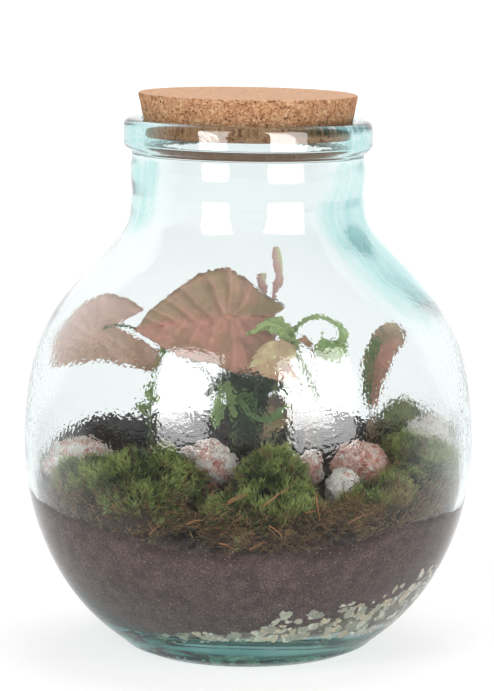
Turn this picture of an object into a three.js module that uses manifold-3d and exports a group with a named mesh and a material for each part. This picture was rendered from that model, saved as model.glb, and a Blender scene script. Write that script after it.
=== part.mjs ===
// Corked glass plant terrarium: a wide, hand-made jar of thick recycled glass that holds gravel,
// soil, moss, granite pebbles, an arrowhead plant and a few small fern fronds.
// Millimetres, +Z up, origin at the middle of the foot, front of the planting towards -Y.
import * as THREE from 'three';
import { mergeVertices } from 'three/addons/utils/BufferGeometryUtils.js';
import Module from 'manifold-3d';

const wasm = await Module();
wasm.setup();
const { Manifold, Mesh } = wasm;

// Driving dimensions of the jar and its stopper
const JAR_SIDES = 32;
const GLASS_TOP = 330;
const INSIDE_STEPS = 14;
const FOOT_RADIUS = 66;
const PUSH_UP = 3;
const NECK_RADIUS = 72;
const NECK_TOP = 305;
const RIM_RADIUS = 76.9;
const RIM_BOTTOM = 311.5;
const RIM_ROUND = 4.2;
const MOUTH_RADIUS = 64.35;
const MOUTH_BOTTOM = 300;
const MOUTH_LIP = 4;
const RIM_LEAN = 0.017;
const RIM_LEAN_FROM = 250;
const FLOOR_LEAN = 0.04;
const FLOOR_LEAN_UNTIL = 70;
const SHOULDER_SHIFT = 1.5;
const SHOULDER_BAND = [195, 235, 268, 300];
const CORK_TOP = 346;
const CORK_THICKNESS = 26.4;
const CORK_TOP_RADIUS = 67.5;
const CORK_BOTTOM_RADIUS = 62.9;
const CORK_BEVEL = 1.2;

// Outside of the belly and shoulder, as height and radius
const OUTSIDE = [
  [0, FOOT_RADIUS], [4, 75.5], [14, 88.2], [32, 106.4], [60, 124.1], [90, 134.7], [120, 139.4],
  [150, 138.8], [180, 134.2], [203, 125.8], [222, 112.7], [240, 96.2], [256, 81], [267, 73.9],
  [280, NECK_RADIUS],
];
// Heights at which the outside has an edge of facets
const OUTSIDE_ROWS = [4, 14, 33, 60, 92, 124, 156, 185, 208, 226, 243, 260];
// Inside from the middle of the floor to the neck, as radius and height
const INSIDE = [
  [0, 13], [30, 13], [55, 14], [77, 21], [98.9, 38.6], [118.3, 62.8], [129.8, 90], [134.4, 120],
  [133.8, 150], [129.2, 180], [116.6, 210], [98.5, 232], [81.5, 248], [69.5, 264], [64.6, 280],
];

// Clearances: between layers, round what stands or lies in a cut hollow, and from what is free to
// the glass. The moss beds in the soil are plainer than the moss, and so larger.
const GAP = 0.3;
const CUT_GAP = 0.45;
const WALL_CLEAR = 0.6;
const STONE_CLEAR = 1;
const MOSS_BED_SCALE = 1.06;

// Ground: heights of the gravel across the jar and of the soil from front to back
const GRAVEL_TOP = [[-110, 23], [-60, 26.5], [-35, 30], [20, 34], [62, 39], [112, 53]];
const SOIL_TOP = [[-135, 80], [-115, 86], [-85, 97], [-55, 108], [0, 115], [60, 121], [135, 127]];
const SOIL_SIDE_FALL = { left: 10, right: 17, from: 92, to: 130, behind: 30 };
const SOIL_MOUND = { at: [-88, 62], reach: 52, height: 11 };
const CHIPS = {
  seed: 77, count: 15, from: -125, to: 2, scatter: 0.5, corners: 5, small: 4.2, large: 7, rise: 0.35,
  outside: 1.9, inside: 6, room: 0.9, past: -2, behind: 6.6,
};
const SOIL_EDGE_STEP = 0.08;
const STEM_DEPTH = 11;
const STEM_STRAIGHT = 15;

const UP = new THREE.Vector3(0, 0, 1);
const TOWARDS_VIEWER = new THREE.Vector3(0, -1, 0);
const vec = (p) => new THREE.Vector3(...p);

// Numbers

// Seeded random numbers from 0 to 1
function randomFrom(seed) {
  let state = seed;
  return () => {
    state = (state + 0x6d2b79f5) | 0;
    let t = Math.imul(state ^ (state >>> 15), 1 | state);
    t = (t + Math.imul(t ^ (t >>> 7), 61 | t)) ^ t;
    return ((t ^ (t >>> 14)) >>> 0) / 4294967296;
  };
}

// Smooth step from 0 at low to 1 at high
function fade(value, low, high) {
  const t = Math.min(1, Math.max(0, (value - low) / (high - low)));
  return t * t * (3 - 2 * t);
}

// Smooth curve through [x, y] points, with level ends
function along(points, x) {
  const last = points.length - 1;
  if (x <= points[0][0]) return points[0][1];
  if (x >= points[last][0]) return points[last][1];
  const i = points.findIndex((p) => p[0] > x) - 1;
  const slope = (k) => {
    const a = points[Math.max(k - 1, 0)];
    const b = points[Math.min(k + 1, last)];
    return (b[1] - a[1]) / (b[0] - a[0]);
  };
  const [x0, y0] = points[i];
  const [x1, y1] = points[i + 1];
  const h = x1 - x0;
  const t = (x - x0) / h;
  return (2 * t ** 3 - 3 * t ** 2 + 1) * y0 + (t ** 3 - 2 * t ** 2 + t) * h * slope(i)
    + (3 * t ** 2 - 2 * t ** 3) * y1 + (t ** 3 - t ** 2) * h * slope(i + 1);
}

// Bumps between -1 and 1, about one step apart
function bumps(x, y, seed) {
  const corner = (i, j) => randomFrom(i * 7919 + j * 104729 + seed)() * 2 - 1;
  const i = Math.floor(x);
  const j = Math.floor(y);
  const u = fade(x - i, 0, 1);
  const v = fade(y - j, 0, 1);
  return (corner(i, j) * (1 - u) + corner(i + 1, j) * u) * (1 - v)
    + (corner(i, j + 1) * (1 - u) + corner(i + 1, j + 1) * u) * v;
}

// Solids

// Closed geometry from points and triangles, without the triangles that collapse to a line
function closedGeometry(points, triangles) {
  const loose = new THREE.BufferGeometry();
  const numbers = points.flatMap((p) => [p.x, p.y, p.z]);
  loose.setAttribute('position', new THREE.Float32BufferAttribute(numbers, 3));
  loose.setIndex(triangles.flat());
  return welded(loose);
}

function welded(geometry) {
  const bare = new THREE.BufferGeometry();
  bare.setAttribute('position', geometry.getAttribute('position'));
  if (geometry.index) bare.setIndex(geometry.index);
  const merged = mergeVertices(bare, 1e-3);
  const kept = [];
  for (let i = 0; i < merged.index.count; i += 3) {
    const [a, b, c] = [0, 1, 2].map((k) => merged.index.getX(i + k));
    if (a !== b && b !== c && c !== a) kept.push(a, b, c);
  }
  merged.setIndex(kept);
  return merged;
}

function solidOf(geometry) {
  const clean = welded(geometry);
  return new Manifold(new Mesh({
    numProp: 3,
    vertProperties: new Float32Array(clean.getAttribute('position').array),
    triVerts: new Uint32Array(clean.index.array),
  }));
}

function geometryOf(solid) {
  const mesh = solid.getMesh();
  const geometry = new THREE.BufferGeometry();
  geometry.setAttribute('position', new THREE.Float32BufferAttribute(mesh.vertProperties, 3));
  geometry.setIndex(Array.from(mesh.triVerts));
  return geometry;
}

// The biggest body of a solid, without the scraps that a cut leaves loose
function biggest(solid) {
  return solid.decompose().reduce((a, b) => (a.volume() >= b.volume() ? a : b));
}

// Moves every vertex of a geometry by a rule that returns a new point
function reshaped(geometry, rule) {
  const position = geometry.getAttribute('position');
  for (let i = 0; i < position.count; i += 1) {
    const p = rule(new THREE.Vector3().fromBufferAttribute(position, i));
    position.setXYZ(i, p.x, p.y, p.z);
  }
  return geometry;
}

// Closed tube of changing radius along a curve, with pointed ends
function tube(curve, radiusAt, sides, steps) {
  const frames = curve.computeFrenetFrames(steps, false);
  const points = [curve.getPointAt(0)];
  const triangles = [];
  for (let i = 0; i <= steps; i += 1) {
    const middle = curve.getPointAt(i / steps);
    for (let k = 0; k < sides; k += 1) {
      const turn = (k / sides) * 2 * Math.PI;
      points.push(middle.clone()
        .addScaledVector(frames.normals[i], Math.cos(turn) * radiusAt(i / steps))
        .addScaledVector(frames.binormals[i], Math.sin(turn) * radiusAt(i / steps)));
    }
  }
  points.push(curve.getPointAt(1));
  const at = (i, k) => 1 + i * sides + (k % sides);
  for (let k = 0; k < sides; k += 1) {
    triangles.push([0, at(0, k + 1), at(0, k)], [points.length - 1, at(steps, k), at(steps, k + 1)]);
    for (let i = 0; i < steps; i += 1) {
      const [a, b, c, d] = [at(i, k), at(i, k + 1), at(i + 1, k + 1), at(i + 1, k)];
      triangles.push([a, b, c], [a, c, d]);
    }
  }
  return closedGeometry(points, triangles);
}

// Closed thin sheet over a grid. place(i, j) gives the middle point and the normal, and both faces
// are split into triangles alike.
function sheet(rows, columns, thickness, place) {
  const points = [];
  const triangles = [];
  const count = (rows + 1) * (columns + 1);
  for (const side of [-1, 1]) {
    for (let i = 0; i <= rows; i += 1) {
      for (let j = 0; j <= columns; j += 1) {
        const { point, normal } = place(i, j);
        points.push(point.clone().addScaledVector(normal, (side * thickness) / 2));
      }
    }
  }
  const at = (i, j) => i * (columns + 1) + j;
  const quad = (a, b, c, d) => triangles.push([a, b, c], [a, c, d]);
  for (let i = 0; i < rows; i += 1) {
    for (let j = 0; j < columns; j += 1) {
      const [a, b, c, d] = [at(i, j), at(i + 1, j), at(i + 1, j + 1), at(i, j + 1)];
      quad(a, b, c, d);
      triangles.push([c + count, b + count, a + count], [d + count, c + count, a + count]);
    }
  }
  for (let i = 0; i < rows; i += 1) {
    quad(at(i + 1, 0), at(i, 0), at(i, 0) + count, at(i + 1, 0) + count);
    quad(at(i, columns), at(i + 1, columns), at(i + 1, columns) + count, at(i, columns) + count);
  }
  for (let j = 0; j < columns; j += 1) {
    quad(at(0, j), at(0, j + 1), at(0, j + 1) + count, at(0, j) + count);
    quad(at(rows, j + 1), at(rows, j), at(rows, j) + count, at(rows, j + 1) + count);
  }
  return closedGeometry(points, triangles);
}

// Jar

// The rim and the stopper lean a little, as the jar was made by hand
function leaned(p) {
  return new THREE.Vector3(p.x, p.y, p.z - RIM_LEAN * p.x * fade(p.z, RIM_LEAN_FROM, RIM_BOTTOM));
}

// The floor inside is thicker at the left, and the shoulder at the right
function handMade(p) {
  const low = 1 - fade(p.z, 20, FLOOR_LEAN_UNTIL);
  const [from, full, until, end] = SHOULDER_BAND;
  const shoulder = fade(p.z, from, full) * (1 - fade(p.z, until, end));
  return leaned(new THREE.Vector3(p.x - SHOULDER_SHIFT * shoulder, p.y, p.z - FLOOR_LEAN * p.x * low));
}

// The inside is turned from straight stretches, and what lies against it follows the same ones
const insideProfile = new THREE.SplineCurve(INSIDE.map(([r, z]) => new THREE.Vector2(r, z)))
  .getPoints(INSIDE_STEPS);

// Inside of the glass at a place along its profile and an angle, moved inwards by inset
function wallPoint(place, angle, inset) {
  const i = Math.min(Math.floor(place), INSIDE_STEPS - 1);
  const way = insideProfile[i + 1].clone().sub(insideProfile[i]);
  const at = insideProfile[i].clone().addScaledVector(way, place - i);
  way.normalize();
  const radius = Math.max(0, at.x - way.y * inset);
  return handMade(vec([radius * Math.cos(angle), radius * Math.sin(angle), at.y + way.x * inset]));
}

// Least radius of the inside beside a point, in the middle of its flat sides
function wallRadius({ x, z }) {
  const height = z + FLOOR_LEAN * x * (1 - fade(z, 20, FLOOR_LEAN_UNTIL));
  const i = Math.max(1, insideProfile.findIndex((p) => p.y > height));
  const [low, high] = [insideProfile[i - 1], insideProfile[i]];
  const radius = low.x + ((high.x - low.x) * (height - low.y)) / (high.y - low.y);
  return radius * Math.cos(Math.PI / JAR_SIDES);
}

// Point moved straight towards the axis until it is clear of the wall
function clearOfWall(p, inset) {
  const limit = wallRadius(p) - inset;
  const radius = Math.hypot(p.x, p.y);
  return radius <= limit ? p : new THREE.Vector3((p.x * limit) / radius, (p.y * limit) / radius, p.z);
}

// Quarter arc of a profile, from one angle to another in degrees
function arc(centre, radius, from, to, steps) {
  return Array.from({ length: steps + 1 }, (_, i) => {
    const turn = THREE.MathUtils.degToRad(from + ((to - from) * i) / steps);
    return [centre[0] + radius * Math.cos(turn), centre[1] + radius * Math.sin(turn)];
  });
}

function glassJar() {
  const outer = [
    [0, PUSH_UP], [30, PUSH_UP * 0.8], [42, 0], [FOOT_RADIUS, 0], [70.5, 1.3],
    ...OUTSIDE_ROWS.map((z) => [along(OUTSIDE, z), z]),
    [NECK_RADIUS, 282], [NECK_RADIUS, NECK_TOP], [73, 309.5],
    ...arc([RIM_RADIUS - RIM_ROUND, RIM_BOTTOM + RIM_ROUND], RIM_ROUND, -50, 0, 1),
    ...arc([RIM_RADIUS - RIM_ROUND, GLASS_TOP - RIM_ROUND], RIM_ROUND, 0, 90, 2),
    ...arc([MOUTH_RADIUS + MOUTH_LIP, GLASS_TOP - MOUTH_LIP], MOUTH_LIP, 90, 180, 1),
    [MOUTH_RADIUS, MOUTH_BOTTOM],
  ];
  const turned = new THREE.LatheGeometry(outer.map(([r, z]) => new THREE.Vector2(r, z)), JAR_SIDES);
  const shell = reshaped(turned.rotateX(Math.PI / 2), leaned);
  const inner = new THREE.LatheGeometry(insideProfile.toReversed(), JAR_SIDES);
  const lining = reshaped(inner.rotateX(Math.PI / 2), handMade);
  return joinedStrips(shell, lining, outer.length, insideProfile.length);
}

// One closed skin from the outside strip, a band at the mouth and the inside strip
function joinedStrips(shell, lining, shellRows, liningRows) {
  const points = [];
  for (const geometry of [shell, lining]) {
    const position = geometry.getAttribute('position');
    for (let i = 0; i < position.count; i += 1) {
      points.push(new THREE.Vector3().fromBufferAttribute(position, i));
    }
  }
  const first = shellRows * (JAR_SIDES + 1);
  const triangles = [];
  for (let k = 0; k < JAR_SIDES; k += 1) {
    const a = k * shellRows + shellRows - 1;
    const b = (k + 1) * shellRows + shellRows - 1;
    const c = first + (k + 1) * liningRows;
    const d = first + k * liningRows;
    triangles.push([a, b, c], [a, c, d]);
  }
  const shellFaces = Array.from(shell.index.array);
  const liningFaces = Array.from(lining.index.array, (i) => i + first);
  return closedGeometry(points, [shellFaces, liningFaces, triangles.flat()]);
}

function corkStopper() {
  const low = CORK_TOP - CORK_THICKNESS;
  const profile = [
    [0, low], [CORK_BOTTOM_RADIUS - CORK_BEVEL, low], [CORK_BOTTOM_RADIUS, low + CORK_BEVEL],
    [CORK_TOP_RADIUS, CORK_TOP - CORK_BEVEL], [CORK_TOP_RADIUS - CORK_BEVEL, CORK_TOP], [0, CORK_TOP],
  ];
  const turned = new THREE.LatheGeometry(profile.map(([r, z]) => new THREE.Vector2(r, z)), JAR_SIDES);
  return reshaped(turned.rotateX(Math.PI / 2), leaned);
}

// Ground

function gravelTop(x, y) {
  return along(GRAVEL_TOP, x) + 1.6 * bumps(x / 9, y / 9, 11);
}

function soilTop(x, y) {
  const fall = x < 0 ? SOIL_SIDE_FALL.left : SOIL_SIDE_FALL.right;
  const side = fade(Math.abs(x), SOIL_SIDE_FALL.from, SOIL_SIDE_FALL.to);
  const front = 1 - fade(y, -10, SOIL_SIDE_FALL.behind);
  const away = Math.hypot(x - SOIL_MOUND.at[0], y - SOIL_MOUND.at[1]);
  const mound = SOIL_MOUND.height * (1 - fade(away, 0, SOIL_MOUND.reach));
  const crumbs = 1.1 * bumps(x / 7, y / 7, 23) + 1.3 * fade(y, 0, 60) * bumps(x / 11, y / 11, 31);
  return along(SOIL_TOP, y) - fall * side * front + mound + crumbs;
}

// Place along the wall profile at which a layer with this top meets the glass
function edgePlace(top, angle) {
  let low = 0;
  let high = INSIDE_STEPS * 0.65;
  for (let step = 0; step < 30; step += 1) {
    const middle = (low + high) / 2;
    const p = wallPoint(middle, angle, GAP);
    if (p.z < top(p.x, p.y)) low = middle;
    else high = middle;
  }
  return low;
}

const SIDE_ANGLES = Array.from({ length: JAR_SIDES }, (_, k) => (k / JAR_SIDES) * 2 * Math.PI);

// Top of a layer: the place where it meets the glass at each side, rings of points from there
// inwards, and its middle
function topOf(height, count) {
  const edge = SIDE_ANGLES.map((angle) => edgePlace(height, angle));
  const rim = SIDE_ANGLES.map((angle, k) => wallPoint(edge[k], angle, GAP));
  const rings = [];
  for (let i = count - 1; i >= 1; i -= 1) {
    rings.push(rim.map(({ x, y }) => {
      const share = i / count;
      return new THREE.Vector3(x * share, y * share, height(x * share, y * share));
    }));
  }
  return { edge, rim, rings, middle: vec([0, 0, height(0, 0)]) };
}

// Rings against the glass from one set of places to another, the last one included
function wallRings(from, to, count) {
  return Array.from({ length: count }, (_, i) => SIDE_ANGLES.map((angle, k) => (
    wallPoint(from[k] + ((to[k] - from[k]) * (i + 1)) / count, angle, GAP))));
}

// Closed skin over rings of points, from the middle underneath to the middle on top. Every patch
// is split from its outer ring, so that two layers that face each other are split alike.
function skin(start, rings, end) {
  const points = [start, ...rings.flat(), end];
  const at = (i, k) => 1 + i * JAR_SIDES + (k % JAR_SIDES);
  const reach = (ring) => Math.hypot(ring[0].x, ring[0].y);
  const triangles = [];
  for (let k = 0; k < JAR_SIDES; k += 1) {
    triangles.push([0, at(0, k + 1), at(0, k)]);
    triangles.push([points.length - 1, at(rings.length - 1, k), at(rings.length - 1, k + 1)]);
    for (let i = 0; i + 1 < rings.length; i += 1) {
      const [a, b, c, d] = [at(i, k), at(i, k + 1), at(i + 1, k + 1), at(i + 1, k)];
      if (reach(rings[i]) > reach(rings[i + 1])) triangles.push([a, b, c], [a, c, d]);
      else triangles.push([a, b, d], [b, c, d]);
    }
  }
  return closedGeometry(points, triangles);
}

function gravelLayer(top) {
  const floor = wallRings(SIDE_ANGLES.map(() => 0), top.edge, 5);
  return skin(wallPoint(0, 0, GAP), [...floor, ...top.rings], top.middle);
}

// Loose chips along the edge of the gravel, as they show through the glass: flat prisms along the
// wall, between two insets from it. What cuts the soil for them is wider by grow.
function gravelChips(grow, outside, inside) {
  const random = randomFrom(CHIPS.seed);
  return Array.from({ length: CHIPS.count }, (_, i) => {
    const share = (i + CHIPS.scatter * random()) / CHIPS.count;
    const angle = THREE.MathUtils.degToRad(CHIPS.from + (CHIPS.to - CHIPS.from) * share);
    const size = CHIPS.small + (CHIPS.large - CHIPS.small) * random();
    const place = edgePlace(gravelTop, angle);
    const middle = wallPoint(place, angle, 0);
    const side = vec([-Math.sin(angle), Math.cos(angle), 0]);
    const up = wallPoint(place + 0.01, angle, 0).sub(middle).normalize();
    const out = new THREE.Vector3().crossVectors(side, up);
    middle.addScaledVector(up, CHIPS.rise * size);
    const spin = random();
    const corners = Array.from({ length: CHIPS.corners }, (_, k) => {
      const turn = ((k + spin + 0.5 * random()) / CHIPS.corners) * 2 * Math.PI;
      const reach = size * (0.75 + 0.25 * random()) + grow;
      return middle.clone()
        .addScaledVector(side, reach * Math.cos(turn))
        .addScaledVector(up, reach * Math.sin(turn));
    });
    const moved = (inset) => corners.map((corner) => corner.clone().addScaledVector(out, -inset));
    return solidOf(prism(moved(outside), moved(inside)));
  });
}

// Closed prism between two rings of points
function prism(outer, inner) {
  const count = outer.length;
  const triangles = [];
  for (let k = 0; k < count; k += 1) {
    const next = (k + 1) % count;
    triangles.push([k, k + count, next + count], [k, next + count, next]);
    if (k > 0 && next > 0) triangles.push([0, k, next], [count, next + count, k + count]);
  }
  return closedGeometry([...outer, ...inner], triangles);
}

// The soil lies on the gravel, point above point
function soilLayer(gravel, top) {
  const lifted = (p) => new THREE.Vector3(p.x, p.y, p.z + GAP);
  const under = [...gravel.rings.toReversed(), gravel.rim].map((ring) => ring.map(lifted));
  const start = gravel.edge.map((place) => place + SOIL_EDGE_STEP);
  const wall = [...wallRings(start, start, 1), ...wallRings(start, top.edge, 4)];
  return skin(lifted(gravel.middle), [...under, ...wall, ...top.rings], top.middle);
}

// Stones

// Broken pebble: a ball cut by flat faces, with a small roughness
function pebble({ at, size, turn, seed }, grow = 0) {
  const random = randomFrom(seed);
  const faces = Array.from({ length: 13 }, () => {
    const normal = vec([random() * 2 - 1, random() * 2 - 1, random() * 2 - 1]).normalize();
    return { normal, far: 0.8 + 0.16 * random() };
  });
  const detail = Math.max(...size) > LARGE_PEBBLE ? 2 : 1;
  const shape = welded(new THREE.IcosahedronGeometry(1, detail));
  return reshaped(shape, (p) => {
    const reach = faces.map((f) => (p.dot(f.normal) > 0.05 ? f.far / p.dot(f.normal) : Infinity));
    const rough = 0.97 + 0.03 * bumps(p.x * 3 + p.z * 2, p.y * 3 - p.z, seed);
    const length = Math.min(1, ...reach) * rough;
    return new THREE.Vector3(...size.map((s, i) => p.getComponent(i) * length * (s + grow)))
      .applyAxisAngle(UP, THREE.MathUtils.degToRad(turn))
      .add(vec(at));
  });
}

const LARGE_PEBBLE = 14;
const STONES = {
  stone_left: { at: [-103, -32, 121], size: [22, 27, 15.5], turn: 17, seed: 5, colour: 0xcdb3a6 },
  stone_centre_left: { at: [-22, -55, 123], size: [17, 15, 16.5], turn: 30, seed: 9, colour: 0xc9a598 },
  stone_small_left: { at: [-37, -34, 120], size: [7, 7, 11], turn: 0, seed: 14, colour: 0xb09a86 },
  stone_small_centre: { at: [38, -45, 119], size: [8.5, 9, 12], turn: 10, seed: 21, colour: 0xcbab9f },
  stone_right: { at: [68, -48, 121], size: [18, 15, 16.5], turn: -20, seed: 33, colour: 0xbf948b },
  stone_pale: { at: [56, -74, 112], size: [12.5, 11, 14], turn: 35, seed: 41, colour: 0xd0b5a6 },
  stone_far_right: { at: [113, 4, 127], size: [16.5, 17, 20.5], turn: 0, seed: 52, colour: 0xd6bcb0 },
};

// Moss

// Each cushion is a heap of domes, given by place and by reach along the wall, towards it and up.
// Needles are tried at that many places on each dome.
const MOSS = {
  moss_front_left: {
    seed: 101,
    tries: 52,
    domes: [
      { at: [-90, -74, 111], size: [34, 30, 20] },
      { at: [-60, -86, 112], size: [31, 42, 27] },
    ],
  },
  moss_front_centre: {
    seed: 202,
    tries: 46,
    domes: [
      { at: [14, -88, 111], size: [25, 30, 27] },
      { at: [9, -106, 101], size: [35, 26, 17] },
    ],
  },
  moss_front_right: {
    seed: 303,
    tries: 46,
    domes: [
      { at: [101, -38, 113], size: [33, 29, 24] },
      { at: [79, -84, 101], size: [27, 26, 18] },
    ],
  },
  moss_back_right: { seed: 404, tries: 40, domes: [{ at: [100, 31, 129], size: [17, 17, 19] }] },
};
const NEEDLE = {
  base: 1.9, root: 2.5, short: 8, long: 13, lift: 0.7, lean: 0.8, rise: 1.1, apart: 4,
  highest: 0.98, lowest: -0.37,
};
const GOLDEN_ANGLE = Math.PI * (3 - Math.sqrt(5));
const MOSS_LIFT = 3;
const MOSS_TUFTS = 1.5;
const CORE_CLEAR = 4.5;
const MOSS_BED_PAST = -1;

// Turns a dome so that its first axis runs along the wall
function domeTurn(dome) {
  return Math.atan2(dome.at[1], dome.at[0]) + Math.PI / 2;
}

function domeSolid(dome, detail, inset, radiusAt) {
  return solidOf(reshaped(welded(new THREE.IcosahedronGeometry(1, detail)), (p) => {
    const q = new THREE.Vector3(...dome.size.map((s, i) => p.getComponent(i) * radiusAt(s, p)))
      .applyAxisAngle(UP, domeTurn(dome))
      .add(vec(dome.at));
    return clearOfWall(q, inset);
  }));
}

function mossCore(dome) {
  const tuft = (p) => MOSS_TUFTS * bumps(p.x * 5 + p.z * 3, p.y * 5 - p.z * 4, 61);
  return domeSolid(dome, 2, CORE_CLEAR, (s, p) => s + tuft(p));
}

// Coarser than the core, so it is larger by what its flat faces lose, and it passes the wall
function mossBed(dome) {
  return domeSolid(dome, 1, MOSS_BED_PAST, (s) => s * MOSS_BED_SCALE + MOSS_TUFTS + CUT_GAP);
}

// How deep a point is inside a dome: under 1 is inside
function depthIn(dome, p) {
  const q = p.clone().sub(vec(dome.at)).applyAxisAngle(UP, -domeTurn(dome));
  return Math.hypot(...dome.size.map((s, i) => q.getComponent(i) / s));
}

function nearStone(p, room) {
  return Object.values(STONES).some(({ at, size }) => {
    const away = p.clone().sub(vec(at));
    return Math.hypot(...size.map((s, i) => away.getComponent(i) / (s + room))) < 1;
  });
}

// One three-sided moss needle from a root in the cushion to its tip
function mossNeedle(root, tip) {
  const way = tip.clone().sub(root).normalize();
  const beside = Math.abs(way.z) < 0.9 ? UP : TOWARDS_VIEWER;
  const across = new THREE.Vector3().crossVectors(way, beside).normalize();
  const other = new THREE.Vector3().crossVectors(way, across);
  const corners = [0, 120, 240].map((degrees) => {
    const turn = THREE.MathUtils.degToRad(degrees);
    return root.clone()
      .addScaledVector(across, Math.cos(turn) * NEEDLE.base)
      .addScaledVector(other, Math.sin(turn) * NEEDLE.base);
  });
  return solidOf(closedGeometry([...corners, tip], [[0, 1, 3], [1, 2, 3], [2, 0, 3], [2, 1, 0]]));
}

// Root and tip of a needle that stands out of a dome in a direction of the unit ball. A needle
// that would meet the glass grows up along it.
function needleOn(dome, unit, random) {
  const out = new THREE.Vector3(...dome.size.map((s, k) => unit.getComponent(k) / s)).normalize();
  const root = new THREE.Vector3(...dome.size.map((s, k) => unit.getComponent(k) * s));
  [out, root].forEach((v) => v.applyAxisAngle(UP, domeTurn(dome)));
  const core = clearOfWall(root.add(vec(dome.at)), CORE_CLEAR);
  const lean = vec([random() - 0.5, random() - 0.5, NEEDLE.lift]);
  const way = out.clone().addScaledVector(lean, NEEDLE.lean).normalize();
  const length = NEEDLE.short + (NEEDLE.long - NEEDLE.short) * random();
  const free = core.clone().addScaledVector(way, length);
  const atGlass = Math.hypot(free.x, free.y) > wallRadius(free) - WALL_CLEAR;
  if (atGlass) way.addScaledVector(UP, NEEDLE.rise).normalize();
  const tip = clearOfWall(core.clone().addScaledVector(way, length), WALL_CLEAR);
  return { core, tip, foot: core.clone().addScaledVector(out, -NEEDLE.root) };
}

function mossCushion({ seed, tries, domes }) {
  const random = randomFrom(seed);
  const pieces = domes.map(mossCore);
  const tips = [];
  domes.forEach((dome) => {
    for (let i = 0; i < tries; i += 1) {
      const z = NEEDLE.highest - ((NEEDLE.highest - NEEDLE.lowest) * (i + random() * 0.6)) / tries;
      const turn = GOLDEN_ANGLE * i + random() * 0.5;
      const flat = Math.sqrt(Math.max(0, 1 - z * z));
      const unit = vec([flat * Math.cos(turn), flat * Math.sin(turn), z]);
      const { core, tip, foot } = needleOn(dome, unit, random);
      const buried = domes.some((other) => other !== dome && depthIn(other, core) < 1);
      const low = core.z < soilTop(core.x, core.y) + MOSS_LIFT;
      const crowded = tips.some((other) => other.distanceTo(tip) < NEEDLE.apart);
      if (buried || low || crowded || nearStone(tip, STONE_CLEAR)) continue;
      tips.push(tip);
      pieces.push(mossNeedle(foot, tip));
    }
  });
  return Manifold.union(pieces);
}

// Leaves

// Maps leaf coordinates, a along the midrib from base to tip and b across it, to a point: the
// midrib bends through base, bow and tip, and the halves fold, droop and wave
function leafSurface({ base, bow, tip, side, fold = 0, droop = 0, wave = 0, ripple = 0.2 }) {
  const length = vec(tip).distanceTo(vec(base));
  const rib = new THREE.QuadraticBezierCurve3(vec(base), vec(bow), vec(tip));
  const point = (a, b) => {
    const t = a / length;
    const middle = t < 0
      ? vec(base).addScaledVector(rib.getTangent(0), a)
      : rib.getPoint(Math.min(t, 1));
    const way = rib.getTangent(Math.min(1, Math.max(0, t)));
    const across = vec(side).addScaledVector(way, -vec(side).dot(way)).normalize();
    const face = new THREE.Vector3().crossVectors(way, across);
    const waved = wave * Math.sin(ripple * a + Math.sign(b)) * (b / 20) ** 2;
    const lift = fold * Math.abs(b) - droop * b * b + waved;
    return middle.addScaledVector(across, b).addScaledVector(face, lift);
  };
  const normal = (a, b) => {
    const step = 0.5;
    const da = point(a + step, b).sub(point(a - step, b));
    const db = point(a, b + step).sub(point(a, b - step));
    return da.cross(db).normalize();
  };
  return { length, point, normal };
}

// Blade whose half outlines run from the tip round to the end of the basal lobe
function leafBlade(leaf) {
  const { length, point, normal } = leafSurface(leaf);
  const half = Object.fromEntries(['upper', 'lower'].map((key) => {
    const outline = [[length, 0], ...leaf[key]].map(([a, b]) => new THREE.Vector2(a, b));
    return [key, new THREE.SplineCurve(outline)];
  }));
  const { rows, columns } = leaf.grid;
  return sheet(rows, columns * 2, leaf.thickness ?? 0.8, (i, j) => {
    const across = (j - columns) / columns;
    const margin = half[across >= 0 ? 'upper' : 'lower'].getPointAt(i / rows);
    const start = length * (1 - i / rows);
    const share = Math.abs(across);
    const a = start + (margin.x - start) * share;
    const b = margin.y * across;
    return { point: point(a, b), normal: i === 0 ? normal(length, 0) : normal(a, b) };
  });
}

// Leaf stalk: from under the blade round to a straight foot in the soil
function stalk(route, radius) {
  const [x, y] = route.at(-1);
  const foot = [[x, y, footHeight([x, y]) + STEM_STRAIGHT], [x, y, footHeight([x, y])]];
  const path = new THREE.CatmullRomCurve3([...route, ...foot].map(vec), false, 'centripetal');
  return tube(path, (t) => radius * (0.75 + 0.25 * t), 5, 8);
}

function footHeight([x, y]) {
  return soilTop(x, y) - STEM_DEPTH;
}

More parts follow.
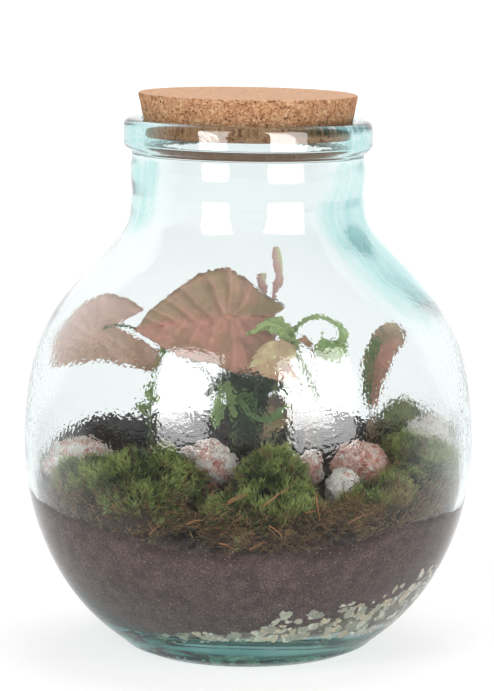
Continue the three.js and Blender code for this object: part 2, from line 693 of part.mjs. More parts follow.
const LEAVES = {
  leaf_large_bronze: {
    base: [14, 5, 206], bow: [-26, -20, 210], tip: [-68, -45, 203], side: [0, 0.5, 0.86],
    fold: -0.12, droop: 0.003, wave: 0.55, ripple: 0.2,
    upper: [[84, 11], [62, 24], [36, 32], [12, 29.5], [-5, 21], [-14, 12]],
    lower: [[84, 15], [66, 28], [42, 35], [22, 36], [9, 32]],
    grid: { rows: 12, columns: 4 },
    stem: {
      radius: 1.3,
      route: [[-12, -11, 206.6], [14, 5, 204.6], [21, 14, 196], [18, 21, 165], [14, 22, 132]],
    },
    colour: 0x9a7258,
  },
  leaf_left_pink: {
    base: [-84, 10, 198], bow: [-104, 4, 190], tip: [-121, -8, 176], side: [-0.6, 0.35, 0.72],
    fold: 0.06, wave: 0.9, ripple: 0.3,
    upper: [[34, 15], [16, 22], [-3, 24], [-17, 15], [-23, 2]],
    lower: [[36, 6], [14, 18], [3, 28.5], [-5, 38.5], [-13, 33]],
    grid: { rows: 10, columns: 3 },
    stem: {
      radius: 1.2,
      route: [
        [-92, 8, 196.6], [-83, 10, 199], [-68, 17, 195], [-32, 36, 172], [-8, 40, 145], [-4, 40, 128],
      ],
    },
    colour: 0xc9a096,
  },
  leaf_small_centre: {
    base: [25, -27, 181], bow: [14, -34, 185], tip: [0, -39, 179], side: [0, 0.45, 0.89],
    fold: -0.25, wave: 2, ripple: 0.5,
    upper: [[22, 7], [12, 13], [2, 13.5], [-6, 8]],
    lower: [[22, 7], [12, 12], [2, 13], [-5, 9]],
    grid: { rows: 7, columns: 3 },
    stem: {
      radius: 1,
      route: [[18, -30.5, 181.6], [25, -26.5, 180], [31, -16, 166], [30, 4, 148], [27, 14, 130]],
    },
    colour: 0xa8826a,
  },
  leaf_right_folded: {
    base: [78, 14, 146], bow: [78, 15, 198], tip: [97, 20, 199], side: [-1, 0.1, 0.1],
    fold: 0.75, wave: 1.5, ripple: 0.3,
    upper: [[50, 4.5], [34, 8], [18, 8], [3, 4]],
    lower: [[50, 6], [34, 11], [18, 9.5], [3, 2.5]],
    grid: { rows: 9, columns: 3 },
    stem: { radius: 1.3, route: [[78, 15.6, 156], [77.5, 15, 146], [76.5, 14, 132]] },
    colour: 0x8f7c52,
  },
  leaf_low_dry: {
    base: [26, -1, 152], bow: [20, -9, 149], tip: [9, -17, 132], side: [0.77, -0.1, -0.62],
    fold: 0.3, wave: 2, ripple: 0.6,
    upper: [[20, 7], [11, 10.5], [1, 6]],
    lower: [[20, 7], [11, 11], [1, 6]],
    grid: { rows: 6, columns: 2 },
    stem: { radius: 0.9, route: [[22, -5, 149.3], [28, -1, 151], [35, 1, 146], [37, 2, 130]] },
    colour: 0x8a7250,
  },
  leaf_small_tan: {
    base: [39, 9, 188], bow: [36, 8, 193], tip: [31, 7, 193], side: [0.3, 0.3, 0.9],
    fold: 0.2,
    upper: [[6, 3], [0, 3]],
    lower: [[6, 3], [0, 3]],
    grid: { rows: 4, columns: 1 },
    stem: { radius: 0.8, route: [[36.5, 8.5, 190], [39.5, 10, 185], [41, 14, 160], [41, 16, 130]] },
    colour: 0xb08a68,
  },
};

// Young leaves that are still rolled stand up as thin wavy spindles
const ROLLED = {
  leaf_young_tall: {
    foot: [16, 34], top: [[17, 33, 205], [16.5, 30, 216], [20, 30, 230], [19, 30, 248]],
    radius: 2.6, from: 0.74, colour: 0xc98f8a,
  },
  leaf_young_short: {
    foot: [9, 42], top: [[11, 40, 205], [12, 33, 216], [9.5, 32, 225], [11, 32, 232.5]],
    radius: 3.4, from: 0.78, colour: 0xb98583,
  },
};

// Smooth route that starts straight up from a foot in the soil
function plantedRoute([x, y], route) {
  const low = footHeight([x, y]);
  const points = [[x, y, low], [x, y, low + STEM_STRAIGHT], ...route];
  return new THREE.CatmullRomCurve3(points.map(vec), false, 'centripetal');
}

function rolledLeaf({ foot, top, radius, from }) {
  const swell = (t) => Math.sin(Math.PI * Math.min(1, ((t - from) / (1 - from)) * 0.92 + 0.04));
  return tube(plantedRoute(foot, top), (t) => (t < from ? 1 : 1 + (radius - 1) * swell(t)), 5, 13);
}

// Fern fronds

// A frond is a ribbon whose margins are cut into round leaflets, on a thin stem
const FRONDS = {
  frond_upper: {
    route: [[16, 4, 150], [22, -4, 176], [26, -10, 190], [23, -12, 200], [14, -13, 204], [2, -14, 199]],
    from: 0.52, width: 7, leaflets: 5, colour: 0x6c8a4a,
  },
  frond_curled: {
    route: [
      [44, 4, 150], [30, 0, 186], [26, 0, 196], [33, 0, 203.5], [41, -1, 208], [50, -2, 207],
      [57, -2, 202], [59, -1, 196], [56, 0, 188], [49, 0, 186], [46, 1, 198],
    ],
    from: 0.34, width: 3.6, leaflets: 9, colour: 0x7a9a55, end: 1.9,
  },
  frond_ribbon_left: {
    route: [[-9, -6, 140], [-11, -6, 158], [-14, -7, 165], [-18, -9, 158], [-20, -11, 138]],
    from: 0.45, width: 5, leaflets: 5, colour: 0x86a45e,
  },
  frond_wavy: {
    route: [
      [7, 6, 140], [3, 6, 154], [-3, 3, 158], [-2, -5, 150], [6, -13, 145], [15, -20, 146],
      [24, -22, 154],
    ],
    from: 0.4, width: 4.2, leaflets: 7, colour: 0x5f8440,
  },
  frond_back_left: {
    route: [[-5, 16, 140], [-6, 13, 160], [-14, 10, 168], [-22, 8, 160]],
    from: 0.4, width: 8, leaflets: 5, colour: 0x3f5a2c,
  },
  frond_back_right: {
    route: [[4, 14, 140], [5, 9, 160], [12, 4, 168], [22, 2, 163]],
    from: 0.4, width: 8, leaflets: 5, colour: 0x456230,
  },
};
const FROND_THICKNESS = 0.7;
const FROND_ARCH = 0.25;
const FROND_ROWS_PER_LEAFLET = 3;

function frond({ route, from, width, leaflets, end = 0.5 }) {
  const path = plantedRoute(route[0], route);
  const rows = leaflets * FROND_ROWS_PER_LEAFLET;
  const blade = sheet(rows, 2, FROND_THICKNESS, (i, j) => {
    const share = i / rows;
    const t = from + (1 - from) * share;
    const way = path.getTangentAt(t);
    const across = new THREE.Vector3().crossVectors(way, TOWARDS_VIEWER).normalize();
    const face = new THREE.Vector3().crossVectors(across, way).normalize();
    const leaflet = 0.5 + 0.5 * Math.abs(Math.sin(Math.PI * share * leaflets));
    const swell = 0.55 + 0.45 * Math.sin(Math.PI * Math.min(1, share * 1.3));
    const taper = (1 + (end - 1) * fade(share, 0.7, 0.95)) * (1 - 0.8 * fade(share, 0.93, 1));
    const reach = width * leaflet * swell * taper;
    const point = path.getPointAt(t)
      .addScaledVector(across, (j - 1) * reach)
      .addScaledVector(face, -FROND_ARCH * Math.abs(j - 1) * reach);
    return { point, normal: face };
  });
  const stem = path.getSpacedPoints(24).slice(0, Math.ceil(24 * (from + 0.1)));
  return solidOf(blade).add(solidOf(tube(new THREE.CatmullRomCurve3(stem), (t) => 1 - 0.3 * t, 4, 7)));
}

// Small green shoot at the left, with a few little leaves on a thin stem
const SHOOT = {
  foot: [-60, 2],
  route: [[-60, 2, 126], [-62, 1, 147], [-59, 0, 165], [-54, 0, 186]],
  colour: 0x6f8f45,
  leaves: [
    { base: [-61.8, 1, 146], tip: [-69, -3, 152], width: 3.6 },
    { base: [-61, 0.8, 152], tip: [-54, -3, 156], width: 3.2 },
    { base: [-59, 0, 164], tip: [-62.5, -6, 156], width: 3.8 },
    { base: [-54.4, 0, 184], tip: [-48, -2, 189], width: 3 },
  ],
};

function leafyShoot({ foot, route, leaves }) {
  const path = plantedRoute(foot, route);
  const stem = solidOf(tube(path, (t) => 1.1 - 0.4 * t, 4, 8));
  return leaves.reduce((plant, { base, tip, width }) => {
    const length = vec(base).distanceTo(vec(tip));
    const outline = [[length * 0.6, width], [0, width * 0.35]];
    const bow = vec(base).lerp(vec(tip), 0.5).add(vec([0, 0, 1.5])).toArray();
    const shape = { side: [0, 0.6, 0.8], fold: 0.2, upper: outline, lower: outline };
    const blade = leafBlade({ base, bow, tip, ...shape, grid: { rows: 3, columns: 1 } });
    return plant.add(solidOf(blade));
  }, stem);
}

// Assembly

const terrarium = new THREE.Group();
terrarium.name = 'glass_plant_terrarium';

function place(name, geometry, material) {
  const mesh = new THREE.Mesh(geometry, new THREE.MeshStandardMaterial(material));
  mesh.name = name;
  terrarium.add(mesh);
}

const stemHoles = [];

// Plain hole in the soil for a stem
function standsIn([x, y], radius) {
  const low = footHeight([x, y]) - GAP;
  const path = new THREE.LineCurve3(vec([x, y, low]), vec([x, y, low + 3 * STEM_DEPTH]));
  stemHoles.push(solidOf(tube(path, () => radius + CUT_GAP, 6, 1)));
}

for (const [name, leaf] of Object.entries(LEAVES)) {
  const { route, radius } = leaf.stem;
  standsIn(route.at(-1), radius);
  const whole = solidOf(leafBlade(leaf)).add(solidOf(stalk(route, radius)));
  place(name, geometryOf(whole), { color: leaf.colour, roughness: 0.55 });
}
for (const [name, leaf] of Object.entries(ROLLED)) {
  standsIn(leaf.foot, 1);
  place(name, rolledLeaf(leaf), { color: leaf.colour, roughness: 0.55 });
}
for (const [name, fern] of Object.entries(FRONDS)) {
  standsIn(fern.route[0], 1);
  place(name, geometryOf(frond(fern)), { color: fern.colour, roughness: 0.6 });
}
standsIn(SHOOT.foot, 1.1);
place('shoot_left', geometryOf(leafyShoot(SHOOT)), { color: SHOOT.colour, roughness: 0.6 });

const stoneCuts = [];
for (const [name, stone] of Object.entries(STONES)) {
  stoneCuts.push(solidOf(pebble(stone, CUT_GAP)));
  place(name, pebble(stone), { color: stone.colour, roughness: 0.85 });
}
const allStones = Manifold.union(stoneCuts);

const mossCuts = [];
for (const [name, cushion] of Object.entries(MOSS)) {
  mossCuts.push(...cushion.domes.map(mossBed));
  const whole = biggest(mossCushion(cushion).subtract(allStones));
  place(name, geometryOf(whole), { color: 0x4b6a2c, roughness: 0.95 });
}

const gravel = topOf(gravelTop, 6);
const chips = gravelChips(0, CHIPS.outside, CHIPS.inside);
const gravelSolid = Manifold.union([solidOf(gravelLayer(gravel)), ...chips]);
const chipCuts = gravelChips(CHIPS.room, CHIPS.past, CHIPS.behind);
const soil = solidOf(soilLayer(gravel, topOf(soilTop, 7)))
  .subtract(Manifold.union([...stoneCuts, ...mossCuts, ...stemHoles, ...chipCuts]));
place('gravel_layer', geometryOf(biggest(gravelSolid)), { color: 0xb9b6a4, roughness: 0.9 });
place('potting_soil', geometryOf(biggest(soil)), { color: 0x4a3f3a, roughness: 1 });
place('glass_jar', glassJar(), { color: 0xbfe3dc, roughness: 0.05, transparent: true, opacity: 0.35 });
place('cork_stopper', corkStopper(), { color: 0xc29a6b, roughness: 0.85 });

export default terrarium;
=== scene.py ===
"""Corked glass plant terrarium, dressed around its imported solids.

Sizes and places are in millimetres, +Z up, front of the planting towards -Y. They become metres
where a mesh, light or camera is made. Most colours are given as they look on a screen, from 0 to
255, and those with four numbers are linear. Heights in the materials are in metres.
"""
import functools
import itertools
import math

import bmesh
import bpy
import numpy as np
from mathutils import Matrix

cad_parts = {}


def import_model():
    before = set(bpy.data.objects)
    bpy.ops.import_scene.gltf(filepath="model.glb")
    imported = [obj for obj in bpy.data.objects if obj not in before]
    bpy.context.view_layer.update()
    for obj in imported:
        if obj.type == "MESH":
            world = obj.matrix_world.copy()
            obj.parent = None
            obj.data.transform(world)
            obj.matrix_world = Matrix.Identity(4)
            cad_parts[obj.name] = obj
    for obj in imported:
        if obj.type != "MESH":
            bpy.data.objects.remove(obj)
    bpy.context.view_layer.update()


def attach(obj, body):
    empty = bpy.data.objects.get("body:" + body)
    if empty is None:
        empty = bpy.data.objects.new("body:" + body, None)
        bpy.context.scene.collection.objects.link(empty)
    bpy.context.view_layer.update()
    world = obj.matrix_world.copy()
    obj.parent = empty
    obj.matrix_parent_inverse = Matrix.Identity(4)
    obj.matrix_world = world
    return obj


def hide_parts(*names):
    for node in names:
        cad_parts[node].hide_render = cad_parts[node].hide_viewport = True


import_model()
MM = 0.001
TURN = 2 * math.pi
UP = np.array([0.0, 0.0, 1.0])
TOWARDS_VIEWER = np.array([0.0, -1.0, 0.0])
GOLDEN_ANGLE = math.pi * (3 - math.sqrt(5))


# Numbers

def fade(value, low, high):
    """Smooth step from 0 at low to 1 at high"""
    t = np.clip((np.asarray(value, float) - low) / (high - low), 0, 1)
    return t * t * (3 - 2 * t)


def between(limits, share):
    return limits[0] + (limits[1] - limits[0]) * share


def band(value, rise, fall):
    """1 between a rise and a fall, each given by its limits"""
    return fade(value, *rise) * (1 - fade(value, *fall))


def bell(distance, width):
    """1 in the middle, falling to both sides"""
    return np.exp(-((distance / width) ** 2))


def along(points, x):
    """Smooth curve through (x, y) points, with level ends"""
    px, py = np.array(points, float).T
    last = len(px) - 1
    behind = np.maximum(np.arange(last + 1) - 1, 0)
    ahead = np.minimum(np.arange(last + 1) + 1, last)
    slope = (py[ahead] - py[behind]) / (px[ahead] - px[behind])
    x = np.clip(x, px[0], px[-1])
    i = np.clip(np.searchsorted(px, x, side="right") - 1, 0, last - 1)
    h = px[i + 1] - px[i]
    t = (x - px[i]) / h
    return ((2 * t**3 - 3 * t**2 + 1) * py[i] + (t**3 - 2 * t**2 + t) * h * slope[i]
            + (3 * t**2 - 2 * t**3) * py[i + 1] + (t**3 - t**2) * h * slope[i + 1])


def random_from(seed):
    """The seeded numbers from 0 to 1 that shape the pebbles"""
    state = [seed]

    def draw():
        state[0] = (state[0] + 0x6D2B79F5) & 0xFFFFFFFF
        t = state[0]
        t = ((t ^ (t >> 15)) * (1 | t)) & 0xFFFFFFFF
        t = (t + (((t ^ (t >> 7)) * (61 | t)) & 0xFFFFFFFF)) & 0xFFFFFFFF ^ t
        return (t ^ (t >> 14)) / 4294967296

    return draw


def noise(points, size, seed):
    """Smooth bumps from -1 to 1 in space, one to each size"""
    q = np.asarray(points, float) / size
    cell = np.floor(q).astype(np.int64)
    part = q - cell
    ease = part * part * (3 - 2 * part)
    total = np.zeros(q.shape[:-1])
    for corner in itertools.product((0, 1), repeat=3):
        c = cell + np.array(corner)
        n = c[..., 0] * 374761393 + c[..., 1] * 668265263 + c[..., 2] * 2147483647 + seed * 1274126177
        n = (n ^ (n >> 13)) * 1103515245
        n = (n ^ (n >> 16)) & 0xFFFF
        total += np.prod(np.where(corner, ease, 1 - ease), axis=-1) * (n / 32767.5 - 1)
    return total


def rough(points, size, octaves, seed):
    """Bumps on bumps, each half the size of the last"""
    return sum(noise(points, size / 2**k, seed + k) / 2**k for k in range(octaves))


def unit(vectors):
    return vectors / np.maximum(np.linalg.norm(vectors, axis=-1, keepdims=True), 1e-9)


def joined(*parts):
    """Points from their x, y and z, or anything else of three parts"""
    return np.stack(np.broadcast_arrays(*parts), -1)


def circle(count):
    """Even angles, once round"""
    return np.arange(count) / count * TURN


def around(radius, angle, height):
    """Points about the upright axis"""
    return joined(radius * np.cos(angle), radius * np.sin(angle), height)


def turned(points, angle):
    """Points turned about the upright axis"""
    c, s = np.cos(angle), np.sin(angle)
    x, y, z = np.moveaxis(points, -1, 0)
    return joined(x * c - y * s, x * s + y * c, z)


def rgb(*screen):
    """Linear colour of a screen colour"""
    value = np.array(screen, float) / 255
    return np.where(value < 0.04045, value / 12.92, ((value + 0.055) / 1.055) ** 2.4)


def mixed(a, b, share):
    share = np.asarray(share, float)[..., None]
    return a * (1 - share) + b * share


# Meshes

def triangles(quads):
    return np.concatenate([quads[:, [0, 1, 2]], quads[:, [0, 2, 3]]])


def grid(rows, columns, wrap=False):
    """Triangles between (rows + 1) by (columns + 1) points, or by columns points where the grid wraps"""
    width = columns if wrap else columns + 1
    i, j = np.meshgrid(np.arange(rows), np.arange(columns), indexing="ij")
    after = (j + 1) % width
    corners = [i * width + j, i * width + after, (i + 1) * width + after, (i + 1) * width + j]
    return triangles(np.stack(corners, -1).reshape(-1, 4))


def skin(rings, start, end):
    """Closed skin over rings of points, with a middle point at both ends"""
    count, sides = rings.shape[:2]
    k = np.arange(sides)
    after = (k + 1) % sides
    last = (count - 1) * sides
    caps = [joined(count * sides, after, k), joined(count * sides + 1, last + k, last + after)]
    points = np.vstack([rings.reshape(-1, 3), start, end])
    return points, np.concatenate([grid(count - 1, sides, True), *caps])


def lathe(profile, sides):
    """Closed skin turned from (radius, height) points that start and end on the axis"""
    radius, height = np.array(profile, float).T[:, 1:-1, None]
    return skin(around(radius, circle(sides), height), [0, 0, profile[0][1]], [0, 0, profile[-1][1]])


def frames(route):
    """Direction along a route and two directions across it that don't twist. No route starts towards
    the viewer.
    """
    way = unit(np.gradient(route, axis=0))
    across = np.zeros_like(way)
    side = np.cross(way[0], TOWARDS_VIEWER)
    for i, w in enumerate(way):
        side = unit(side - w * side.dot(w))
        across[i] = side
    return way, across, np.cross(way, across)


def facing_viewer(way):
    """Direction across a strip along a way and out of it, with its face to the front"""
    across = unit(np.cross(way, TOWARDS_VIEWER))
    return across, unit(np.cross(across, way))


def tube(route, radius, sides):
    """Closed tube along a route with a radius for each of its points"""
    _, across, other = frames(route)
    angle = circle(sides)[:, None]
    ring = np.cos(angle) * across[:, None] + np.sin(angle) * other[:, None]
    return skin(route[:, None] + ring * radius[:, None, None], route[0], route[-1])


def ball(subdivisions):
    """Points on the unit ball and their triangles"""
    made = bmesh.new()
    bmesh.ops.create_icosphere(made, subdivisions=subdivisions, radius=1)
    points = np.array([v.co for v in made.verts])
    faces = np.array([[v.index for v in f.verts] for f in made.faces])
    made.free()
    return points, faces


def even_curve(points, at, share, steps):
    """Points at shares of the length of a smooth curve through a few points"""
    fine = np.linspace(0, at[-1], steps)
    curve = np.stack([along(np.column_stack([at, column]), fine) for column in np.array(points, float).T], -1)
    length = np.concatenate([[0], np.cumsum(np.linalg.norm(np.diff(curve, axis=0), axis=1))])
    return np.stack([np.interp(share * length[-1], length, column) for column in curve.T], -1)


def smooth_route(points, count):
    """Evenly spaced points on a smooth curve through a few points"""
    step = np.sqrt(np.linalg.norm(np.diff(np.array(points, float), axis=0), axis=1))
    return even_curve(points, np.concatenate([[0], np.cumsum(step)]), np.linspace(0, 1, count), 400)


def set_on(thing, **values):
    for name, value in values.items():
        setattr(thing, name, value)
    return thing


def placed(name, data, **values):
    """New object in the scene"""
    made = set_on(bpy.data.objects.new(name, data), **values)
    bpy.context.scene.collection.objects.link(made)
    return made


def mesh_object(name, points, faces, colours=None, smooth=True):
    mesh = bpy.data.meshes.new(name)
    mesh.vertices.add(len(points))
    mesh.vertices.foreach_set("co", (points * MM).ravel())
    mesh.loops.add(faces.size)
    mesh.loops.foreach_set("vertex_index", faces.ravel().astype(np.int32))
    mesh.polygons.add(len(faces))
    mesh.polygons.foreach_set("loop_start", np.arange(0, faces.size, faces.shape[1], dtype=np.int32))
    mesh.update(calc_edges=True)
    mesh.polygons.foreach_set("use_smooth", np.full(len(faces), smooth))
    if colours is not None:
        layer = mesh.color_attributes.new("colour", "FLOAT_COLOR", "POINT")
        layer.data.foreach_set("color", np.column_stack([colours, np.ones(len(points))]).ravel())
    return placed(name, mesh)


def dressed(piece, look, slot, *nodes):
    """Gives a piece its material and its place in the frame"""
    piece.data.materials.append(look.owner)
    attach(piece, "root")
    if nodes:
        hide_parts(*nodes)
    return piece


class Heap:
    """Points, triangles and colours of the shapes that make one mesh"""

    def __init__(self):
        self.points, self.faces, self.colours, self.count = [], [], [], 0

    def add(self, points, faces, colours):
        """Adds one shape, or an array of shapes that share their faces"""
        each = points.shape[-2]
        number = points.size // (3 * each)
        shift = self.count + each * np.arange(number)
        self.points.append(points.reshape(-1, 3))
        self.colours.append(np.broadcast_to(colours, points.shape).reshape(-1, 3))
        self.faces.append((faces + shift[:, None, None]).reshape(-1, 3))
        self.count += each * number

    def add_sheet(self, middle, thickness, colours, behind=1.0):
        """Adds a closed thin sheet over a grid of points"""
        half = np.asarray(thickness)[..., None] / 2 * normals_of(middle)
        index = np.arange(middle[..., 0].size).reshape(middle.shape[:2])
        rim = np.concatenate([index[:, 0], index[-1, 1:], index[-2::-1, -1], index[0, -2:0:-1]])
        after = np.roll(rim, -1)
        edge = triangles(np.stack([after, rim, rim + index.size, after + index.size], -1))
        face = grid(middle.shape[0] - 1, middle.shape[1] - 1)
        points = np.concatenate([(middle - half).reshape(-1, 3), (middle + half).reshape(-1, 3)])
        colours = colours.reshape(-1, 3)
        self.add(points, np.concatenate([face[:, ::-1], face + index.size, edge[:, ::-1]]),
                 np.vstack([colours * behind, colours]))

    def add_tube(self, points, faces, colours, sides):
        """Adds a tube with a colour for each of its rings, or for each of its points"""
        if len(colours) * sides == len(points) - 2:
            colours = np.repeat(colours, sides, 0)
        self.add(points, faces, np.vstack([colours, colours[:1], colours[-1:]]))

    def dress(self, name, look, slot, *nodes, smooth=True):
        parts = [np.concatenate(part) for part in (self.points, self.faces, self.colours)]
        return dressed(mesh_object(name, *parts, smooth), look, slot, *nodes)


def normals_of(middle):
    """Directions out of a grid of points, also where its first row is all one point"""
    normal = np.cross(np.gradient(middle, axis=0), np.gradient(middle, axis=1))
    pinched = np.linalg.norm(normal[0], axis=-1) < 1e-6
    normal = unit(normal)
    normal[0, pinched] = unit(normal[1].mean(0))
    return normal


# Materials

def grey(value):
    return (value, value, value, 1)


def paint(*screen):
    return (*rgb(*screen), 1)


class Look:
    """Nodes of a material, lamp or world, and the shader that they feed"""

    def __init__(self, owner, shader="Principled BSDF", **values):
        owner.use_nodes = True
        self.owner, self.tree = owner, owner.node_tree
        self.shader = self.tree.nodes[shader]
        self.give(**values)

    def give(self, **values):
        """Sets inputs of the shader, which are named with _ for a space"""
        for name, value in values.items():
            self.feed(self.shader.inputs[name.replace("_", " ")], value)

    def feed(self, socket, value):
        if isinstance(value, bpy.types.NodeSocket):
            self.tree.links.new(value, socket)
        else:
            socket.default_value = value

    def node(self, kind, inputs=(), **settings):
        """Outputs of a new node"""
        made = set_on(self.tree.nodes.new("ShaderNode" + kind), **settings)
        for name, value in dict(inputs).items():
            self.feed(made.inputs[name], value)
        return made.outputs

    def math(self, operation, *values):
        return self.node("Math", enumerate(values), operation=operation)[0]

    def vector(self, operation, *values):
        return self.node("VectorMath", enumerate(values), operation=operation)

    def times(self, *values):
        return functools.reduce(functools.partial(self.math, "MULTIPLY"), values)

    def most(self, *values):
        return functools.reduce(functools.partial(self.math, "MAXIMUM"), values)

    def step(self, value, low, high, start=0.0, end=1.0):
        """Level change from start at low to end at high"""
        limits = {"From Min": low, "From Max": high, "To Min": start, "To Max": end}
        return self.node("MapRange", {"Value": value, **limits})["Result"]

    def choice(self, share, a, b):
        return self.node("Mix", {0: share, 2: a, 3: b})[0]

    def mix(self, share, a, b, mode="MIX"):
        return self.node("Mix", {0: share, 6: a, 7: b}, data_type="RGBA", blend_type=mode)[2]

    def tint(self, a, b):
        return self.mix(1.0, a, b, "MULTIPLY")

    def own(self):
        """The mesh's own colours"""
        return self.node("VertexColor", layer_name="colour")["Color"]

    def place(self):
        return self.node("TexCoord")["Object"]

    def xyz(self, vector=None):
        return self.node("SeparateXYZ", {"Vector": vector or self.place()})

    def noise(self, size, detail=2.0, roughness=0.5, distortion=0.0, vector=None, output="Fac"):
        """Noise with bumps of a size in millimetres"""
        return self.node("TexNoise", {
            "Vector": vector or self.place(), "Scale": 1 / (size * MM), "Detail": detail,
            "Roughness": roughness, "Distortion": distortion})[output]

    def grains(self, size, vector=None):
        """Grains of a size in millimetres"""
        return self.node("TexVoronoi", {"Vector": vector or self.place(), "Scale": 1 / (size * MM)})

    def shares(self, size, vector=None):
        """Three random numbers for each grain"""
        return self.node("SeparateColor", {"Color": self.grains(size, vector)["Color"]})

    def ramp(self, factor, *stops):
        """Colour by a factor: each stop is a position and a screen colour"""
        made = self.tree.nodes.new("ShaderNodeValToRGB")
        self.feed(made.inputs["Fac"], factor)
        elements = made.color_ramp.elements
        while len(elements) < len(stops):
            elements.new(0.5)
        for element, (position, *screen) in zip(elements, stops):
            set_on(element, position=position, color=paint(*screen))
        return made.outputs["Color"]

    def bump(self, height, depth):
        """Relief of a depth in millimetres"""
        self.give(Normal=self.node("Bump", {"Height": height, "Distance": depth * MM, "Strength": 1.0})[0])

    def instead(self, ray, shader):
        """Shows another shader to one kind of ray"""
        kind = self.node("LightPath")[ray]
        both = self.node("MixShader", {0: kind, 1: self.shader.outputs[0], 2: shader})[0]
        self.feed(self.tree.nodes["Material Output"].inputs["Surface"], both)


def material(name, **values):
    return Look(bpy.data.materials.new(name), **values)


def cover(name, roughness, grain, depth, variation, specular=0.4, **values):
    """Material with the mesh's own colours, fine variation and relief"""
    look = material(name, Roughness=roughness, Specular_IOR_Level=specular, **values)
    spots = look.noise(grain, 3.0, 0.6)
    own = look.own()
    low, high = (look.tint(own, grey(1 + change)) for change in (-variation, variation))
    look.give(Base_Color=look.mix(look.step(spots, 0.3, 0.7), low, high))
    look.bump(spots, depth)
    return look


# Jar

FOOT_RADIUS = 66
PUSH_UP_RADIUS = 42
PUSH_UP = 3
NECK_TOP = 305
RIM_RADIUS = 76.9
RIM_BOTTOM = 311.5
RIM_ROUND = 4.2
GLASS_TOP = 330
MOUTH_RADIUS = 64.35
MOUTH_BOTTOM = 300
MOUTH_LIP = 4
RIM_LEAN = 0.017
RIM_LEAN_FROM = 250
FLOOR_LEAN = 0.04
FLOOR_LEAN_BAND = (20, 70)
SHOULDER_SHIFT = 1.5
SHOULDER_BAND = ((195, 235), (268, 300))
JAR_SIDES = 192
BELLY_TOP = 280
# The neck swells a little below the rim, as height and radius
NECK = [(278, 72.2), (283, 71.6), (298, 72.6), (305, 71.9)]
FLARE = [(71.8, 307.5), (72.0, 309.2), (72.5, 310.3), (73.3, 310.9), (74.2, 311.2)]
# Thickness of the wall from the belly to the neck, by height
WALL = [(140, 5.0), (200, 4.6), (240, 4.8), (262, 6.0), (280, 7.3)]
WALL_FROM = 146
# The bends of the shoulder are blended this far up and down, more and more between two heights
BLEND = 8
BLEND_BAND = (90, 150)
# Outside of the belly and shoulder, as height and radius
OUTSIDE = [
    (0, 66), (1.5, 69.7), (4, 75.5), (8, 80.5), (14, 88.2), (22, 97.2), (32, 106.4), (45, 115.8),
    (60, 124.1), (75, 130.3), (90, 134.7), (105, 137.7), (120, 139.4), (135, 139.6), (150, 138.8),
    (165, 137.2), (180, 134.2), (195, 129.2), (210, 121.4), (222, 112.7), (232, 104.1), (240, 96.2),
    (248, 88.5), (256, 81), (264, 75.4), (270, 73.3), (280, 72),
]
# Inside from the middle of the floor to the neck, as radius and height
INSIDE = [
    (0, 13), (30, 13), (55, 14), (77, 21), (98.9, 38.6), (118.3, 62.8), (129.8, 90), (134.4, 120),
    (133.8, 150), (129.2, 180), (116.6, 210), (98.5, 232), (81.5, 248), (69.5, 264), (64.6, 280),
]
INSIDE_END = len(INSIDE) - 1
# Distance that loose things keep from the glass
GLASS_CLEAR = 0.45
# Extra thickness of the wall at the right of the shoulder and neck
SWELL = {"angle": -12, "reach": 62, "deep": 3.2, "band": ((205, 240), (284, 303))}
GLASS_ABSORBS = (0.40, 0.67, 0.68, 1)
GLASS_DENSITY = 20.0
GLASS_RIPPLE = 2.4
GLASS_RIPPLE_DEPTH = 0.125
GLASS_LINING_CALM = 0.65
GLASS_STREAK = (0.46, 0.82, 0.79, 1)
# Painted shade on the front right of the rim, where the cork rests on the thick lip
RIM_PAINTED_SHADE = (0.05, 0.16, 0.17, 1)
FOOT_DARK = (0.05, 0.36, 0.31, 1)
FOOT_LIGHT = (0.25, 0.72, 0.65, 1)
# Where streaks begin and are full: first the share to the right, then the lower and upper height
STREAKS = [
    ((0.74, 0.9), (0.2, 0.235), (0.29, 0.275)),
    ((0.88, 0.94), (0.27, 0.285), (0.311, 0.3)),
    ((-0.86, -0.94), (0.258, 0.272), (0.309, 0.3)),
]


def leaned(points):
    """The rim and the stopper lean a little"""
    x, y, z = np.moveaxis(points, -1, 0)
    return joined(x, y, z - RIM_LEAN * x * fade(z, RIM_LEAN_FROM, RIM_BOTTOM))


def hand_made(points):
    """The floor inside is thicker at the left, and the shoulder at the right"""
    x, y, z = np.moveaxis(points, -1, 0)
    low = 1 - fade(z, *FLOOR_LEAN_BAND)
    shift = SHOULDER_SHIFT * band(z, *SHOULDER_BAND)
    return leaned(joined(x - shift, y, z - FLOOR_LEAN * x * low))


def inside_at(place):
    """Radius and height of the inside at a place along its profile"""
    steps = np.arange(len(INSIDE))
    return [along(np.column_stack([steps, column]), place) for column in np.array(INSIDE, float).T]


# Radii and heights above the floor, to find a radius by its height
INSIDE_TABLE = inside_at(np.linspace(2.2, INSIDE_END, 600))


def wall(place, angle, inset):
    """Inside of the glass at a place along its profile and an angle, moved inwards by inset"""
    place, angle = np.broadcast_arrays(np.asarray(place, float), angle)
    radius, height = inside_at(place)
    way = unit(np.stack(inside_at(place + 0.02), -1) - np.stack(inside_at(place - 0.02), -1))
    return hand_made(around(radius - way[..., 1] * inset, angle, height + way[..., 0] * inset))


def radius_at(height):
    """Radius of the inside at a height"""
    return np.interp(height, INSIDE_TABLE[1], INSIDE_TABLE[0])


def wall_radius(points):
    """Radius of the inside beside points"""
    x, z = points[..., 0], points[..., 2]
    return radius_at(z + FLOOR_LEAN * x * (1 - fade(z, *FLOOR_LEAN_BAND)))


